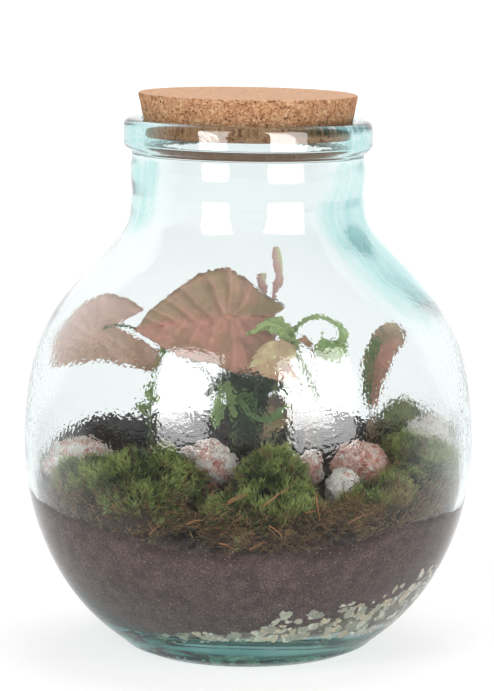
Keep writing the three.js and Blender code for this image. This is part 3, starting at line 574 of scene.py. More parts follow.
def clear_of_wall(points, inset=GLASS_CLEAR):
    """Points moved straight towards the axis until they are clear of the wall"""
    limit = wall_radius(points) - inset
    radius = np.hypot(points[..., 0], points[..., 1])
    share = np.where(radius > limit, limit / np.maximum(radius, 1e-6), 1)
    return joined(points[..., 0] * share, points[..., 1] * share, points[..., 2])


def glass_colour(look):
    """Deeper green-blue in streaks at the right shoulder, the neck and the rim, and in the thick foot, and
    painted shade on the front right of the rim under the cork
    """
    x, y, z = look.xyz()
    level = look.vector("MULTIPLY", look.place(), (1, 1, 0))[0]
    side = look.math("DIVIDE", x, look.vector("LENGTH", level)["Value"])

    def within(sides, *heights):
        return look.times(look.step(side, *sides), *(look.step(z, *height) for height in heights))

    brush = look.node("CombineXYZ", {"X": look.times(side, 38.0), "Z": look.times(z, 26.0)})[0]
    stroke = look.step(look.noise(1 / MM, 3.0, vector=brush), 0.3, 0.62)
    streaks = look.times(look.most(*(within(*area) for area in STREAKS)), stroke)
    seeds = look.step(look.noise(2.2, 2.0, 0.6), 0.42, 0.6)
    edge = look.step(look.math("ABSOLUTE", side), 0.74, 0.9)
    rim = look.times(edge, look.step(z, 0.311, 0.3135), seeds)
    colour = look.mix(look.most(streaks, rim), grey(1.0), GLASS_STREAK)
    # Painted shade on the front right of the rim top, under the cork, partly the deeper colour of the thick
    # lip there
    front = look.step(y, 0.0, -0.004)
    dark = look.times(within((0.3, 0.6), (0.3225, 0.325)), front, look.step(stroke, 0.1, 0.6))
    colour = look.mix(dark, colour, RIM_PAINTED_SHADE)
    left = look.math("POWER", look.step(x, 0.01, -0.105), 2.2)
    top = look.step(left, 0.0, 1.0, 0.012, 0.046)
    foot = look.step(look.math("SUBTRACT", z, top), 0.002, -0.003)
    layers = look.noise(1 / MM, vector=look.vector("MULTIPLY", look.place(), (22, 22, 420))[0])
    return look.mix(foot, colour, look.mix(look.step(layers, 0.4, 0.64), FOOT_DARK, FOOT_LIGHT))


def glass():
    """Clear recycled glass with a green-blue tint in its thickness and a rippled skin"""
    look = material("recycled_glass", Roughness=0.0, IOR=1.5, Transmission_Weight=1.0)
    z = look.xyz()["Z"]
    ripple = look.math("ADD", look.noise(GLASS_RIPPLE, 1.0, 0.4), look.noise(14, 1.0))
    above = look.step(z, 0.192, 0.218, 1.0, 0.3)
    below = look.step(z, 0.09, 0.14, 0.02, 1.0)
    lining = look.step(look.node("NewGeometry")["Backfacing"], 0.0, 1.0, 1.0, 1 - GLASS_LINING_CALM)
    look.bump(look.times(ripple, above, below, lining), GLASS_RIPPLE_DEPTH)
    look.give(Base_Color=glass_colour(look))
    look.instead("Is Shadow Ray", look.node("BsdfTransparent", {"Color": grey(0.97)})[0])
    tint = look.node("VolumeAbsorption", {"Color": GLASS_ABSORBS, "Density": GLASS_DENSITY})[0]
    look.feed(look.tree.nodes["Material Output"].inputs["Volume"], tint)
    return look


def arc(radius, height, bend, start, end, steps):
    """Rounded corner inside a radius and a height of its middle, as radius and height"""
    turn = np.radians(np.linspace(start, end, steps + 1))
    return [(radius + bend * math.cos(t), height + bend * math.sin(t)) for t in turn]


def outside_at(height):
    """Radius of the outside, with the bends of the shoulder blended"""
    steps = np.linspace(-1, 1, 17)
    weight = 1 + np.cos(math.pi * steps)
    soft = sum(w * along(OUTSIDE, height + BLEND * s) for w, s in zip(weight, steps)) / weight.sum()
    return between((along(OUTSIDE, height), soft), fade(height, *BLEND_BAND))


def wall_profile():
    """Inside of the glass from the mouth to the floor: even in thickness above the belly"""
    height = np.linspace(278, WALL_FROM, 48)
    slope = outside_at(height + 0.5) - outside_at(height - 0.5)
    out = unit(np.stack([np.ones_like(slope), -slope], -1)) * along(WALL, height)[:, None]
    upper = zip(outside_at(height) - out[:, 0], height - out[:, 1])
    return [*upper, *zip(*inside_at(np.linspace(7.5, 0, 54)))]


def swell_at(points):
    """How much thicker the wall is at places near the right of the neck"""
    x, y, z = points.T
    away = np.abs(np.degrees(np.arctan2(y, x)) - SWELL["angle"])
    return SWELL["deep"] * (1 - fade(away, 0, SWELL["reach"])) * band(z, *SWELL["band"])


def glass_jar():
    low = [(r, PUSH_UP * (1 - (r / PUSH_UP_RADIUS) ** 2)) for r in np.linspace(0, PUSH_UP_RADIUS, 12)]
    foot = [(r, 0) for r in np.linspace(PUSH_UP_RADIUS + 4, FOOT_RADIUS, 6)]
    heights = np.concatenate([np.linspace(0.8, 20, 18), np.linspace(22.5, BELLY_TOP, 84)])
    neck = [(along(NECK, z), z) for z in np.linspace(283, NECK_TOP, 14)]
    inner = RIM_RADIUS - RIM_ROUND
    rim = [*arc(inner, RIM_BOTTOM + RIM_ROUND, RIM_ROUND, -60, 0, 5),
           *[(RIM_RADIUS, z) for z in np.linspace(317, 324, 5)],
           *arc(inner, GLASS_TOP - RIM_ROUND, RIM_ROUND, 0, 90, 7),
           *arc(MOUTH_RADIUS + MOUTH_LIP, GLASS_TOP - MOUTH_LIP, MOUTH_LIP, 90, 180, 7)]
    mouth = [(MOUTH_RADIUS, z) for z in np.linspace(323, MOUTH_BOTTOM, 8)]
    outer = [*low, *foot, *zip(outside_at(heights), heights), *neck, *FLARE, *rim, *mouth]
    points, faces = lathe([*outer, *wall_profile()], JAR_SIDES)
    first = (len(outer) - 1) * JAR_SIDES
    points = np.vstack([leaned(points[:first]), hand_made(points[first:])])
    outward = unit(points * [1, 1, 0])
    inside = np.arange(len(points)) >= first
    waves = 0.25 * noise(points, 60, 3) + 0.04 * noise(points, 17, 4)
    points = points + outward * np.where(inside, waves - 0.3 - swell_at(points), waves)[:, None]
    streaks = 0.5 + 0.5 * noise(points * [0.25, 0.25, 2.0], 8, 5)
    points[:, 2] -= np.where(inside, 0.5 * (1 - fade(points[:, 2], 22, 45)) * streaks, 0)
    return dressed(mesh_object("jar_glass", points, faces), glass(), "glass", "glass_jar")


# Cork

CORK_TOP = 346
CORK_THICKNESS = 26.4
CORK_TOP_RADIUS = 67.5
CORK_BOTTOM_RADIUS = 62.9
CORK_BEVEL = 1.1
CORK_SIDES = 216


def agglomerated_cork():
    look = material("cork", Roughness=0.85, Specular_IOR_Level=0.25)
    swirl = look.noise(1000 / 650, output="Color")
    shift = look.vector("MULTIPLY", swirl, (0.0016, 0.0016, 0.0016))[0]
    moved = look.vector("ADD", look.place(), shift)[0]
    fine = look.shares(0.9, moved)[1]
    large = look.ramp(look.shares(2.3, moved)[0], (0.0, 140, 84, 50), (0.25, 186, 128, 88),
                      (0.55, 206, 150, 108), (0.8, 218, 166, 124), (1.0, 238, 200, 160))
    small = look.ramp(fine, (0, 128, 78, 48), (0.5, 200, 146, 106), (1, 238, 198, 158))
    colour = look.mix(0.5, large, small)
    pits = look.step(look.grains(2.4, moved)["Distance"], 0.34, 0.2)
    pits = look.times(pits, look.step(look.noise(1.6), 0.5, 0.57))
    # Faces that point up are lighter and less pitted
    facing_up = look.step(look.xyz(look.node("NewGeometry")["Normal"])["Z"], 0.5, 0.9)
    pits = look.times(pits, look.step(facing_up, 0.0, 1.0, 1.0, 0.4))
    colour = look.mix(pits, colour, paint(52, 28, 18))
    colour = look.mix(facing_up, colour, look.mix(0.5, colour, paint(226, 190, 162)))
    # Painted shade: the cork is greyer and darker where it sits inside the glass mouth
    painted_mouth_shade = look.step(look.xyz()["Z"], 0.3325, 0.3275)
    look.give(Base_Color=look.mix(painted_mouth_shade, colour, look.tint(colour, paint(186, 182, 178))))
    look.bump(look.math("SUBTRACT", look.times(fine, 0.3), pits), 0.35)
    return look


def cork_stopper():
    low = CORK_TOP - CORK_THICKNESS
    rows = np.linspace(0, 1, 28)
    radii, heights = (CORK_BOTTOM_RADIUS, CORK_TOP_RADIUS), (low + 2 * CORK_BEVEL, CORK_TOP - 2 * CORK_BEVEL)
    points, faces = lathe([
        *[(r, low) for r in np.linspace(0, CORK_BOTTOM_RADIUS - CORK_BEVEL, 20)],
        *arc(CORK_BOTTOM_RADIUS - CORK_BEVEL, low + CORK_BEVEL, CORK_BEVEL, -60, 0, 3),
        *zip(between(radii, rows), between(heights, rows)),
        *arc(CORK_TOP_RADIUS - CORK_BEVEL, CORK_TOP - CORK_BEVEL, CORK_BEVEL, 0, 90, 4),
        *[(r, CORK_TOP) for r in np.linspace(CORK_TOP_RADIUS - 2 * CORK_BEVEL, 0, 44)],
    ], CORK_SIDES)
    top = fade(points[:, 2], CORK_TOP - 1, CORK_TOP)
    pits = np.maximum(0, noise(points, 1.9, 21) - 0.42) * 1.6
    worn = 0.16 * noise(points, 1.6, 22) + 0.25 * noise(points, 9, 23) - pits
    points = points + unit(points * [1, 1, 0]) * (worn * (1 - top))[:, None]
    points[:, 2] += top * (0.08 * noise(points, 2, 24) - 0.35 * pits)
    cork = mesh_object("cork", leaned(points), faces)
    return dressed(cork, agglomerated_cork(), "cork", "cork_stopper")


# Ground

GRAVEL_TOP = [(-110, 23), (-60, 26.5), (-35, 30), (20, 34), (62, 39), (112, 53)]
SOIL_TOP = [(-135, 80), (-115, 86), (-85, 97), (-55, 108), (0, 115), (60, 121), (135, 127)]
SOIL_SIDE_FALL = {"left": 10, "right": 17, "from": (92, 130), "front": (-10, 30)}
SOIL_MOUND = {"at": (-88, 62), "reach": 52, "height": 11}
SOIL_SIDES = 280
UNDERSIDE_ROWS = 11
SOIL_AT_GLASS = rgb(130, 107, 103)
SOIL_OPEN = rgb(44, 36, 33)
SOIL_BROWN = rgb(66, 47, 38)
# The ground lies a little off the floor of the jar and touches its wall, as moist soil does
WALL_GAP = 0.35
WALL_TOUCH = -0.05
TOUCH_FROM = (3.1, 3.7)
CRUMBS = {"number": 1900, "size": (0.9, 3.2), "reach": 132}
GRAVEL_MATRIX = rgb(164, 152, 136)
CHIP_COLOURS = [
    rgb(250, 240, 222), rgb(238, 224, 202), rgb(214, 206, 184), rgb(238, 216, 188), rgb(196, 188, 168)]
CHIPS = {"number": 2300, "left": 0.12, "size": (1.6, 5.2), "above": (0.12, 0.5), "facets": 9}


def gravel_top(x, y):
    level = joined(x, y, 0)
    return along(GRAVEL_TOP, x) + 1.6 * noise(level, 9, 11) + 1.2 * noise(level, 4, 12)


def smooth_soil_top(x, y):
    fall = np.where(x < 0, SOIL_SIDE_FALL["left"], SOIL_SIDE_FALL["right"])
    side = fade(np.abs(x), *SOIL_SIDE_FALL["from"])
    front = 1 - fade(y, *SOIL_SIDE_FALL["front"])
    away = np.hypot(x - SOIL_MOUND["at"][0], y - SOIL_MOUND["at"][1])
    mound = SOIL_MOUND["height"] * (1 - fade(away, 0, SOIL_MOUND["reach"]))
    return along(SOIL_TOP, y) - fall * side * front + mound


def soil_top(x, y):
    """Soil with its crumbs, and with the beds that the moss lies in"""
    level = joined(x, y, 0)
    coarse = fade(y, -40, 30)
    crumbs = (0.8 + 1.2 * coarse) * noise(level, 8, 31) + (0.5 + 0.9 * coarse) * noise(level, 3.6, 32)
    height = smooth_soil_top(x, y) + crumbs + 0.5 * noise(level, 1.7, 33)
    deepest = 0.5 + 12 * fade(wall_radius(joined(x, y, height)) - np.hypot(x, y), 2, 16)
    for cushion in MOSS.values():
        for at, size in cushion["domes"]:
            q = dome_place(level, at, size)
            inside = 1 - q[..., 0] ** 2 - q[..., 1] ** 2
            bed = at[2] - size[2] * np.sqrt(np.maximum(inside, 0))
            height = np.where(inside > 0, np.minimum(height, np.maximum(bed, height - deepest)), height)
    return height


def gap_at(place):
    return between((WALL_GAP, WALL_TOUCH), fade(place, *TOUCH_FROM))


def edge_place(top, angle):
    """Places along the wall profile at which a layer with this top meets the glass"""
    low = np.zeros(len(angle))
    high = np.full(len(angle), INSIDE_END * 0.65)
    for _ in range(26):
        middle = (low + high) / 2
        p = wall(middle, angle, gap_at(middle))
        under = p[:, 2] < top(p[:, 0], p[:, 1])
        low, high = np.where(under, middle, low), np.where(under, high, middle)
    return low


def layer(under, top, sides, wall_rows, top_rows):
    """Closed layer between two heights, against the glass at its side, and which points are there"""
    angle = circle(sides)
    start = edge_place(under, angle) if under else np.zeros(sides)
    place = between((start, edge_place(top, angle)), np.linspace(0, 1, wall_rows)[:, None])
    side = wall(place, angle, gap_at(place))
    inwards = side[-1] * np.linspace(1, 0.004, top_rows)[1:, None, None]
    inwards[..., 2] = top(inwards[..., 0], inwards[..., 1])
    below = side[0] * np.linspace(0.02, 1, UNDERSIDE_ROWS + 1)[:-1, None, None]
    below[..., 2] = under(below[..., 0], below[..., 1]) if under else side[0, :, 2] + WALL_GAP
    rings = np.concatenate([below, side, inwards])
    points, faces = skin(rings, rings[0].mean(0), rings[-1].mean(0))
    on_wall = np.zeros(len(points))
    on_wall[UNDERSIDE_ROWS * sides:(UNDERSIDE_ROWS + wall_rows) * sides] = 1
    return points, faces, on_wall


def moist_soil():
    """Dark moist soil with light specks and fibres"""
    look = material("potting_soil", Roughness=0.9, Specular_IOR_Level=0.3)
    fine = look.noise(0.9, 3.0, 0.7)
    patches = look.mix(look.step(look.noise(9, 4.0, 0.65), 0.35, 0.68), grey(0.7), grey(1.2))
    crumbs = look.mix(look.step(fine, 0.38, 0.64), grey(0.5), grey(1.5))
    specks = look.step(look.grains(2.6)["Distance"], 0.27, 0.17)
    lit = look.times(specks, look.step(look.noise(3), 0.47, 0.53), 0.8)
    earth = look.tint(look.tint(look.own(), patches), crumbs)
    look.give(Base_Color=look.mix(lit, earth, paint(178, 156, 136)))
    look.bump(fine, 0.5)
    return look


def soil():
    points, faces, on_wall = layer(lambda x, y: gravel_top(x, y) + 0.3, soil_top, SOIL_SIDES, 50, 85)
    x, y, z = points.T
    near_glass = 1 - fade(wall_radius(points) - np.hypot(x, y), 3, 18)
    dark = fade(10 - smooth_soil_top(x, y) + z + 5 * noise(points, 14, 42), 0, 12)
    opened = mixed(SOIL_OPEN, SOIL_BROWN, 0.45 * fade(noise(points, 20, 43), -0.1, 0.6))
    opened = mixed(opened, SOIL_AT_GLASS * 0.7, 0.7 * near_glass * (1 - fade(y, -60, 0)))
    colours = mixed(opened, mixed(SOIL_AT_GLASS, SOIL_BROWN, dark * 0.6), on_wall)
    dressed(mesh_object("soil", points, faces, colours), moist_soil(), "soil", "potting_soil")


def soil_crumbs():
    """Loose crumbs on the open soil, most of them towards the back"""
    rng = np.random.default_rng(71)
    number = CRUMBS["number"]
    x, y, _ = around(CRUMBS["reach"] * np.sqrt(rng.random(number)), rng.random(number) * TURN, 0).T
    keep = rng.random(number) < 0.25 + 0.75 * fade(y, -50, 20)
    x, y = x[keep], y[keep]
    size = between(CRUMBS["size"], rng.random(len(x)) ** 2.2)
    shape, faces = ball(1)
    jag = 1 + 0.32 * noise(shape * 1.7 + rng.random((len(x), 1, 3)) * 90, 1, 72)
    squash = 0.6 + 0.5 * rng.random((len(x), 1, 3))
    middle = joined(x, y, soil_top(x, y) + 0.25 * size)
    points = middle[:, None] + shape * jag[..., None] * squash * size[:, None, None]
    heap = Heap()
    colours = mixed(SOIL_OPEN * 0.8, SOIL_BROWN, rng.random(len(x)))
    heap.add(clear_of_wall(points, 0.5), faces, colours[:, None])
    heap.dress("soil_crumbs", moist_soil(), "soil")


def gravel():
    points, faces, _ = layer(None, gravel_top, 200, 26, 26)
    dusty = fade(noise(points, 5, 52), -0.3, 0.5)
    bed = mesh_object("gravel_bed", points, faces, mixed(GRAVEL_MATRIX * 0.7, GRAVEL_MATRIX * 1.2, dusty))
    dressed(bed, cover("gravel_dust", 0.9, 1.2, 0.4, 0.25), "gravel", "gravel_layer")


def gravel_chips():
    """Broken pale chips against the glass and on the floor of the jar, few of them at the left"""
    rng = np.random.default_rng(81)
    angle = rng.random(CHIPS["number"]) * TURN
    angle = angle[rng.random(len(angle)) < between((CHIPS["left"], 1), fade(np.cos(angle), -0.5, -0.1))]
    number = len(angle)
    above = between(CHIPS["above"], fade(np.cos(angle), -0.1, 0.3))
    place = between((1.0, edge_place(gravel_top, angle)), np.sqrt(rng.random(number)))
    place = place + above * rng.random(number) ** 1.6
    size = between(CHIPS["size"], rng.random(number) ** 1.6)
    middle = wall(place, angle, gap_at(place) + 0.3 * size)
    shape, faces = ball(2)
    facets = unit(rng.normal(size=(number, CHIPS["facets"], 3)))
    reach = 0.45 + 0.4 * rng.random((number, 1, CHIPS["facets"]))
    facing = np.maximum(np.einsum("vc,nfc->nvf", shape, facets), 0.05)
    length = np.minimum(1, (reach / facing).min(-1))
    stretch = joined(1.3, 0.7 + 0.5 * rng.random(number), 0.7 + 0.5 * rng.random(number))
    local = shape * length[..., None] * (stretch * size[:, None])[:, None]
    spin, tilt = rng.random((2, number, 1)) * TURN
    x, y, z = np.moveaxis(local, -1, 0)
    c, s = np.cos(tilt), np.sin(tilt)
    local = turned(joined(x, y * c - z * s, y * s + z * c), spin)
    points = clear_of_wall(middle[:, None] + local, (gap_at(place) - 0.07)[:, None])
    tones = np.array(CHIP_COLOURS)[rng.integers(0, len(CHIP_COLOURS), number)]
    heap = Heap()
    heap.add(points, faces, (tones * (0.85 + 0.4 * rng.random((number, 1))))[:, None])
    heap.dress("gravel_chips", cover("gravel_stone", 0.8, 1.6, 0.15, 0.2), "gravel", smooth=False)


# Stones

# Middle, half sizes, turn in degrees, seed and share of pink
STONES = {
    "stone_left": ((-103, -32, 121), (22, 27, 15.5), 17, 5, 0.6),
    "stone_centre_left": ((-22, -55, 123), (17, 15, 16.5), 30, 9, 0.6),
    "stone_small_left": ((-37, -34, 120), (7, 7, 11), 0, 14, 0.5),
    "stone_small_centre": ((38, -45, 119), (8.5, 9, 12), 10, 21, 0.6),
    "stone_right": ((68, -48, 121), (18, 15, 16.5), -20, 33, 0.95),
    "stone_pale": ((56, -74, 112), (12.5, 11, 14), 35, 41, 0.3),
    "stone_far_right": ((113, 4, 127), (16.5, 17, 20.5), 0, 52, 0.3),
}
STONE_CUTS = 13
# Leaves room for the roughness
STONE_SCALE = 0.985


def granite(name, pink):
    """Coarse pale crystals with rusty pink feldspar and a few dark grains"""
    look = material(name, Roughness=0.78, Specular_IOR_Level=0.4)
    crystal, small = look.shares(1.9), look.shares(0.9)
    pale = look.ramp(crystal[0], (0.0, 206, 196, 186), (0.35, 226, 214, 204), (0.7, 240, 232, 224),
                     (1.0, 190, 182, 176))
    rosy = look.ramp(crystal[1], (0.0, 176, 108, 92), (0.4, 205, 150, 134), (0.75, 226, 186, 172),
                     (1.0, 160, 88, 74))
    patch = look.step(look.noise(7, 4.0, 0.62, 0.4), 0.66 - 0.28 * pink, 0.74 - 0.28 * pink)
    single = look.step(crystal[2], 1.05 - 0.45 * pink, 1.1 - 0.45 * pink)
    colour = look.mix(look.most(patch, single), pale, rosy)
    colour = look.mix(look.step(small[0], 0.86, 0.9, 0.0, 0.5), colour, paint(122, 104, 98))
    colour = look.mix(look.step(small[1], 0.84, 0.9, 0.0, 0.6), colour, paint(248, 244, 240))
    look.give(Base_Color=colour)
    look.bump(look.math("ADD", small[2], look.noise(1.4, 3.0, 0.7)), 0.28)
    return look


def stones():
    """Broken pebbles: balls cut by flat faces, with the roughness of split stone"""
    shape, faces = ball(5)
    for name, (at, size, turn, seed, pink) in STONES.items():
        draw = random_from(seed)
        length = 1
        for _ in range(STONE_CUTS):
            side = np.maximum(shape @ unit(np.array([draw() * 2 - 1 for _ in range(3)])), 0.05)
            length = np.minimum(length, (0.8 + 0.16 * draw()) / side)
        points = shape * length[:, None] * STONE_SCALE * size
        grit = 0.9 * rough(points, 9, 3, seed) + 0.35 * rough(points, 2.2, 2, seed + 9)
        points = turned(points + unit(shape / size) * grit[:, None], math.radians(turn)) + at
        pebble = mesh_object(name + "_granite", clear_of_wall(points), faces)
        dressed(pebble, granite(name + "_rock", pink), "granite", name)


def near_stone(points, room):
    close = np.zeros(points.shape[:-1], bool)
    for at, size, *_ in STONES.values():
        close |= np.linalg.norm((points - at) / (np.array(size) + room), axis=-1) < 1
    return close


# Moss

# Each dome has its middle and half sizes, the first of them along the wall
MOSS = {
    "moss_front_left": {
        "seed": 101, "shoots": 1650,
        "domes": [((-90, -74, 111), (34, 30, 20)), ((-60, -86, 112), (31, 42, 27))]},
    "moss_front_centre": {
        "seed": 202, "shoots": 1500,
        "domes": [((14, -88, 111), (25, 30, 27)), ((9, -106, 101), (35, 26, 17))]},
    "moss_front_right": {
        "seed": 303, "shoots": 1500,
        "domes": [((101, -38, 113), (33, 29, 24)), ((79, -84, 101), (27, 26, 18))]},
    "moss_back_right": {"seed": 404, "shoots": 540, "domes": [((100, 31, 129), (17, 17, 19))]},
}
MOSS_CORE = {"size": (0.74, 0.985), "clear": (8.0, 1.5)}
# Shoots deeper than this in another dome are lost
DOME_OVERLAP = 0.94
TUFT = {"size": 9, "height": 3.6, "lean": 0.75}
SHOOT = {
    "needles": 8, "stem": (1.5, 7.0), "needle": (3.6, 7.4), "width": 0.52, "spread": 0.78,
    "lift": 0.75, "sink": 6.5}
# Painted shade at the roots of the needles
MOSS_ROOT_SHADE = rgb(28, 36, 14)
MOSS_GREEN = rgb(98, 116, 50)
# Lightest green, which the tops of the tufts get most of, as painted light
MOSS_BRIGHT = rgb(186, 196, 108)
MOSS_DEAD = rgb(92, 66, 44)
MOSS_STRAW = rgb(178, 140, 92)
MOSS_RUST = rgb(152, 86, 56)
# Painted shade: the near-black inside of the moss cushions
MOSS_CORE_SHADE = rgb(24, 24, 13)
MOSS_FELT = rgb(62, 47, 36)
# How high above the soil the moss turns from brown to green
MOSS_ALIVE = (5, 20)
UNDER_MOSS = {"number": 900, "length": (3, 9), "width": 0.36, "below": 4, "above": 19}
NEEDLE_FACES = np.array([[0, 2, 1], [0, 1, 3], [1, 2, 3], [2, 0, 3]])
# Dry pine needles against the glass: x and height of both ends, then the distance from the glass
PINE_NEEDLES = [
    (-12, 114, -2, 119, 2), (-13, 112, 0, 118.5, 2.5), (8, 111, 25, 123, 2), (33, 107, 54, 108, 2),
    (39, 118, 41.5, 102, 1.5), (-17, 89, -9, 86, 1), (1, 85, 10, 90, 1), (-80, 106, -75, 111, 1.5),
    (58, 99, 72, 104, 1), (12, 100, 20, 93, 1), (-58, 92, -50, 99, 1), (-36, 100, -27, 103, 1),
]
PINE_COLOUR = rgb(196, 132, 92)
PINE_RADIUS = 0.42


def dome_turn(at):
    """Turns a dome so that its first axis runs along the wall"""
    return math.atan2(at[1], at[0]) + math.pi / 2


def dome_place(points, at, size):
    """Where points are in a dome whose half sizes are 1"""
    return turned(points - np.array(at), -dome_turn(at)) / size


def sides_of(way):
    """Two directions across each of many directions"""
    beside = unit(np.cross(way, np.where(np.abs(way[..., 2:]) < 0.9, UP, TOWARDS_VIEWER)))
    return beside, np.cross(way, beside)


def dome_roots(cushion, rng):
    """Places where shoots stand, the direction out of the moss there, and how high their tuft is"""
    parts = []
    domes = cushion["domes"]
    tries = 2 * cushion["shoots"] // len(domes)
    for at, size in domes:
        i = np.arange(tries)
        z = 0.995 - 1.75 * (i + rng.random(tries)) / tries
        on_ball = around(np.sqrt(1 - z * z), GOLDEN_ANGLE * i + rng.random(tries) * 0.8, z)
        root = turned(on_ball * size, dome_turn(at)) + at
        out = unit(turned(on_ball / size, dome_turn(at)))
        tuft = np.clip(1.5 * noise(root, TUFT["size"], 65), -1, 1)
        lost = root[:, 2] < smooth_soil_top(root[:, 0], root[:, 1]) - 10
        for other in domes:
            if other[0] != at:
                lost |= np.linalg.norm(dome_place(root, *other), axis=-1) < DOME_OVERLAP
        sink = SHOOT["sink"] * fade(out[:, 2], -0.5, 0.3) + 0.8
        root = clear_of_wall(root + out * (TUFT["height"] * tuft - sink)[:, None], 5.2 - 1.6 * tuft)
        keep = ~(lost | near_stone(root, 0.5))
        parts.append([root[keep], out[keep], tuft[keep]])
    return [np.concatenate(part) for part in zip(*parts)]


def add_needles(heap, base, way, length, width, bend, colours):
    """Three-sided needles with one colour at the root and one at the tip"""
    beside, other = sides_of(way)
    ring = [beside * math.cos(turn) + other * math.sin(turn) for turn in circle(3)]
    corners = [base + side * np.asarray(width)[..., None] for side in ring]
    points = np.stack([*corners, base + way * length[:, None] + bend], 1)
    heap.add(clear_of_wall(points), NEEDLE_FACES, np.stack([colours[0]] * 3 + [colours[1]], 1))


def add_core(heap, at, size):
    """Inside of a dome painted near-black as shade, with a brown felted foot"""
    shape, faces = ball(5)
    foot = 1 - fade(shape[:, 2], -0.45, 0.1)
    points = turned(shape * (np.array(size) * between(MOSS_CORE["size"], foot)[:, None]), dome_turn(at)) + at
    points = points + unit(shape) * (1.2 * rough(points, 5, 3, 61))[:, None]
    felt = MOSS_FELT * (0.8 + 0.55 * rough(points, 3, 2, 66))[:, None]
    inset = between(MOSS_CORE["clear"], foot) + 0.6 * noise(points, 2, 67)
    heap.add(clear_of_wall(points, inset), faces, mixed(MOSS_CORE_SHADE, felt, foot))


def moss_shades(root, tuft, share, rng):
    """Colours of each needle at its root and tip: dead below, with painted light on the tuft tops and painted
    shade in the hollows, low on each shoot and at the roots
    """
    number = len(root)
    above = root[:, 2] - smooth_soil_top(root[:, 0], root[:, 1])
    health = fade(above + 8 * noise(root, 11, 63), *MOSS_ALIVE)
    dead = ((rng.random(number) > health) | (rng.random(number) < 0.07))[:, None, None]
    # Painted light: needles on the tops of the tufts are lighter, on top of a random tone
    light = 0.45 + 0.4 * tuft + 0.25 * noise(root, 17, 64) + 0.2 * rng.normal(size=number)
    tone = np.clip(light[:, None] + 0.2 * rng.normal(size=share.shape), 0, 1)
    # Painted shade: darker in the hollows between the tufts and lower on each shoot
    depth = (0.2 + 0.8 * fade(tuft, -0.9, 0.45))[:, None] * (0.35 + 0.65 * share)
    green = mixed(MOSS_GREEN, MOSS_BRIGHT, tone) * depth[..., None]
    straw = mixed(MOSS_DEAD, MOSS_STRAW, tone) * (0.35 + 0.65 * depth)[..., None]
    # Painted shade: the root of each needle is darker than its tip
    low = np.where(dead, straw * 0.7, mixed(MOSS_ROOT_SHADE, green, 0.6))
    return low, np.where(dead, straw * 1.2, mixed(green, MOSS_BRIGHT, 0.5 * tone))


def add_shoots(heap, cushion, rng):
    root, out, tuft = dome_roots(cushion, rng)
    number = len(root)
    each = (number, SHOOT["needles"])
    shifts = np.array([[0, 0, 0], [50, 0, 0], [0, 50, 0]])
    lean = rng.normal(size=(number, 3)) * 0.22
    lean = lean + noise(root[:, None] + shifts, TUFT["size"], 62) * TUFT["lean"]
    axis = unit(out * 0.8 + UP * SHOOT["lift"] + lean)
    stem = between(SHOOT["stem"], rng.random(number))[:, None]
    spin = rng.random(each)[..., None] * TURN
    beside, other = sides_of(axis)
    ring = beside[:, None] * np.cos(spin) + other[:, None] * np.sin(spin)
    share = (np.arange(each[1]) + rng.random(each)) / each[1]
    spread = SHOOT["spread"] * (1.15 - 0.6 * share) * (0.6 + 0.8 * rng.random(each))
    way = unit(axis[:, None] + ring * spread[..., None] + UP * 0.15)
    base = root[:, None] + axis[:, None] * (stem * share)[..., None]
    length = between(SHOOT["needle"], rng.random(each))
    bend = ring * (0.6 * rng.random(each))[..., None] + UP * (0.7 * rng.random(each))[..., None]
    width = SHOOT["width"] * (0.75 + 0.4 * rng.random(each))
    parts = [base, way, length, width, bend, *moss_shades(root, tuft, share, rng)]
    keep = ~near_stone(base + way * 3, -0.6)
    *parts, low, high = [part[keep] for part in parts]
    add_needles(heap, *parts, [low, high])


def add_litter(heap, cushion, rng):
    """Dead needles and stems against the glass along the foot of the moss"""
    number = UNDER_MOSS["number"] // len(cushion["domes"])
    for at, size in cushion["domes"]:
        side = 2 * rng.random(number) - 1
        angle = math.atan2(at[1], at[0]) + 1.12 * size[0] / math.hypot(*at[:2]) * side
        foot = at[2] - size[2] * np.sqrt(np.maximum(0, 1 - side**2)) * 0.9
        limits = (foot - UNDER_MOSS["below"], foot + UNDER_MOSS["above"])
        height = between(limits, rng.random(number) ** 1.3)
        root = around(radius_at(height) - 1.6, angle, height)
        tilt = rng.normal(size=number) * 0.7
        beside = around(np.cos(tilt) * np.sign(side), angle + math.pi / 2, 0)
        length = between(UNDER_MOSS["length"], rng.random(number))
        shade = mixed(MOSS_DEAD * 0.55, MOSS_STRAW, rng.random(number) ** 2.2)
        shade = mixed(shade, MOSS_RUST, rng.random(number) > 0.93)
        bend = UP * rng.normal(size=(number, 1))
        way = unit(beside + UP * np.sin(tilt)[:, None])
        add_needles(heap, root, way, length, UNDER_MOSS["width"], bend, [shade * 0.8, shade])


def moss():
    look = cover("moss_green", 0.6, 1.5, 0.0, 0.12, 0.3, Sheen_Weight=0.1)
    for name, cushion in MOSS.items():
        rng = np.random.default_rng(cushion["seed"])
        heap = Heap()
        for dome in cushion["domes"]:
            add_core(heap, *dome)
        add_shoots(heap, cushion, rng)
        add_litter(heap, cushion, rng)
        heap.dress(name + "_needles", look, "moss", name)


def pine_needles():
    """Dry pine needles that lie against the glass in the moss"""
    heap = Heap()
    share = np.linspace(0, 1, 9)
    for x0, z0, x1, z1, away in PINE_NEEDLES:
        x, z = between((x0, x1), share), between((z0, z1), share)
        path = joined(x, -np.sqrt((radius_at(z) - away) ** 2 - x**2), z + 0.8 * np.sin(math.pi * share))
        points, faces = tube(path, PINE_RADIUS * (1 - 0.5 * share), 6)
        shade = mixed(PINE_COLOUR * 0.75, PINE_COLOUR, np.abs(noise(points, 5, 68)))
        heap.add(clear_of_wall(points), faces, shade)
    heap.dress("pine_needles", cover("dry_needle", 0.6, 1.0, 0.0, 0.15), "moss")


# Leaves

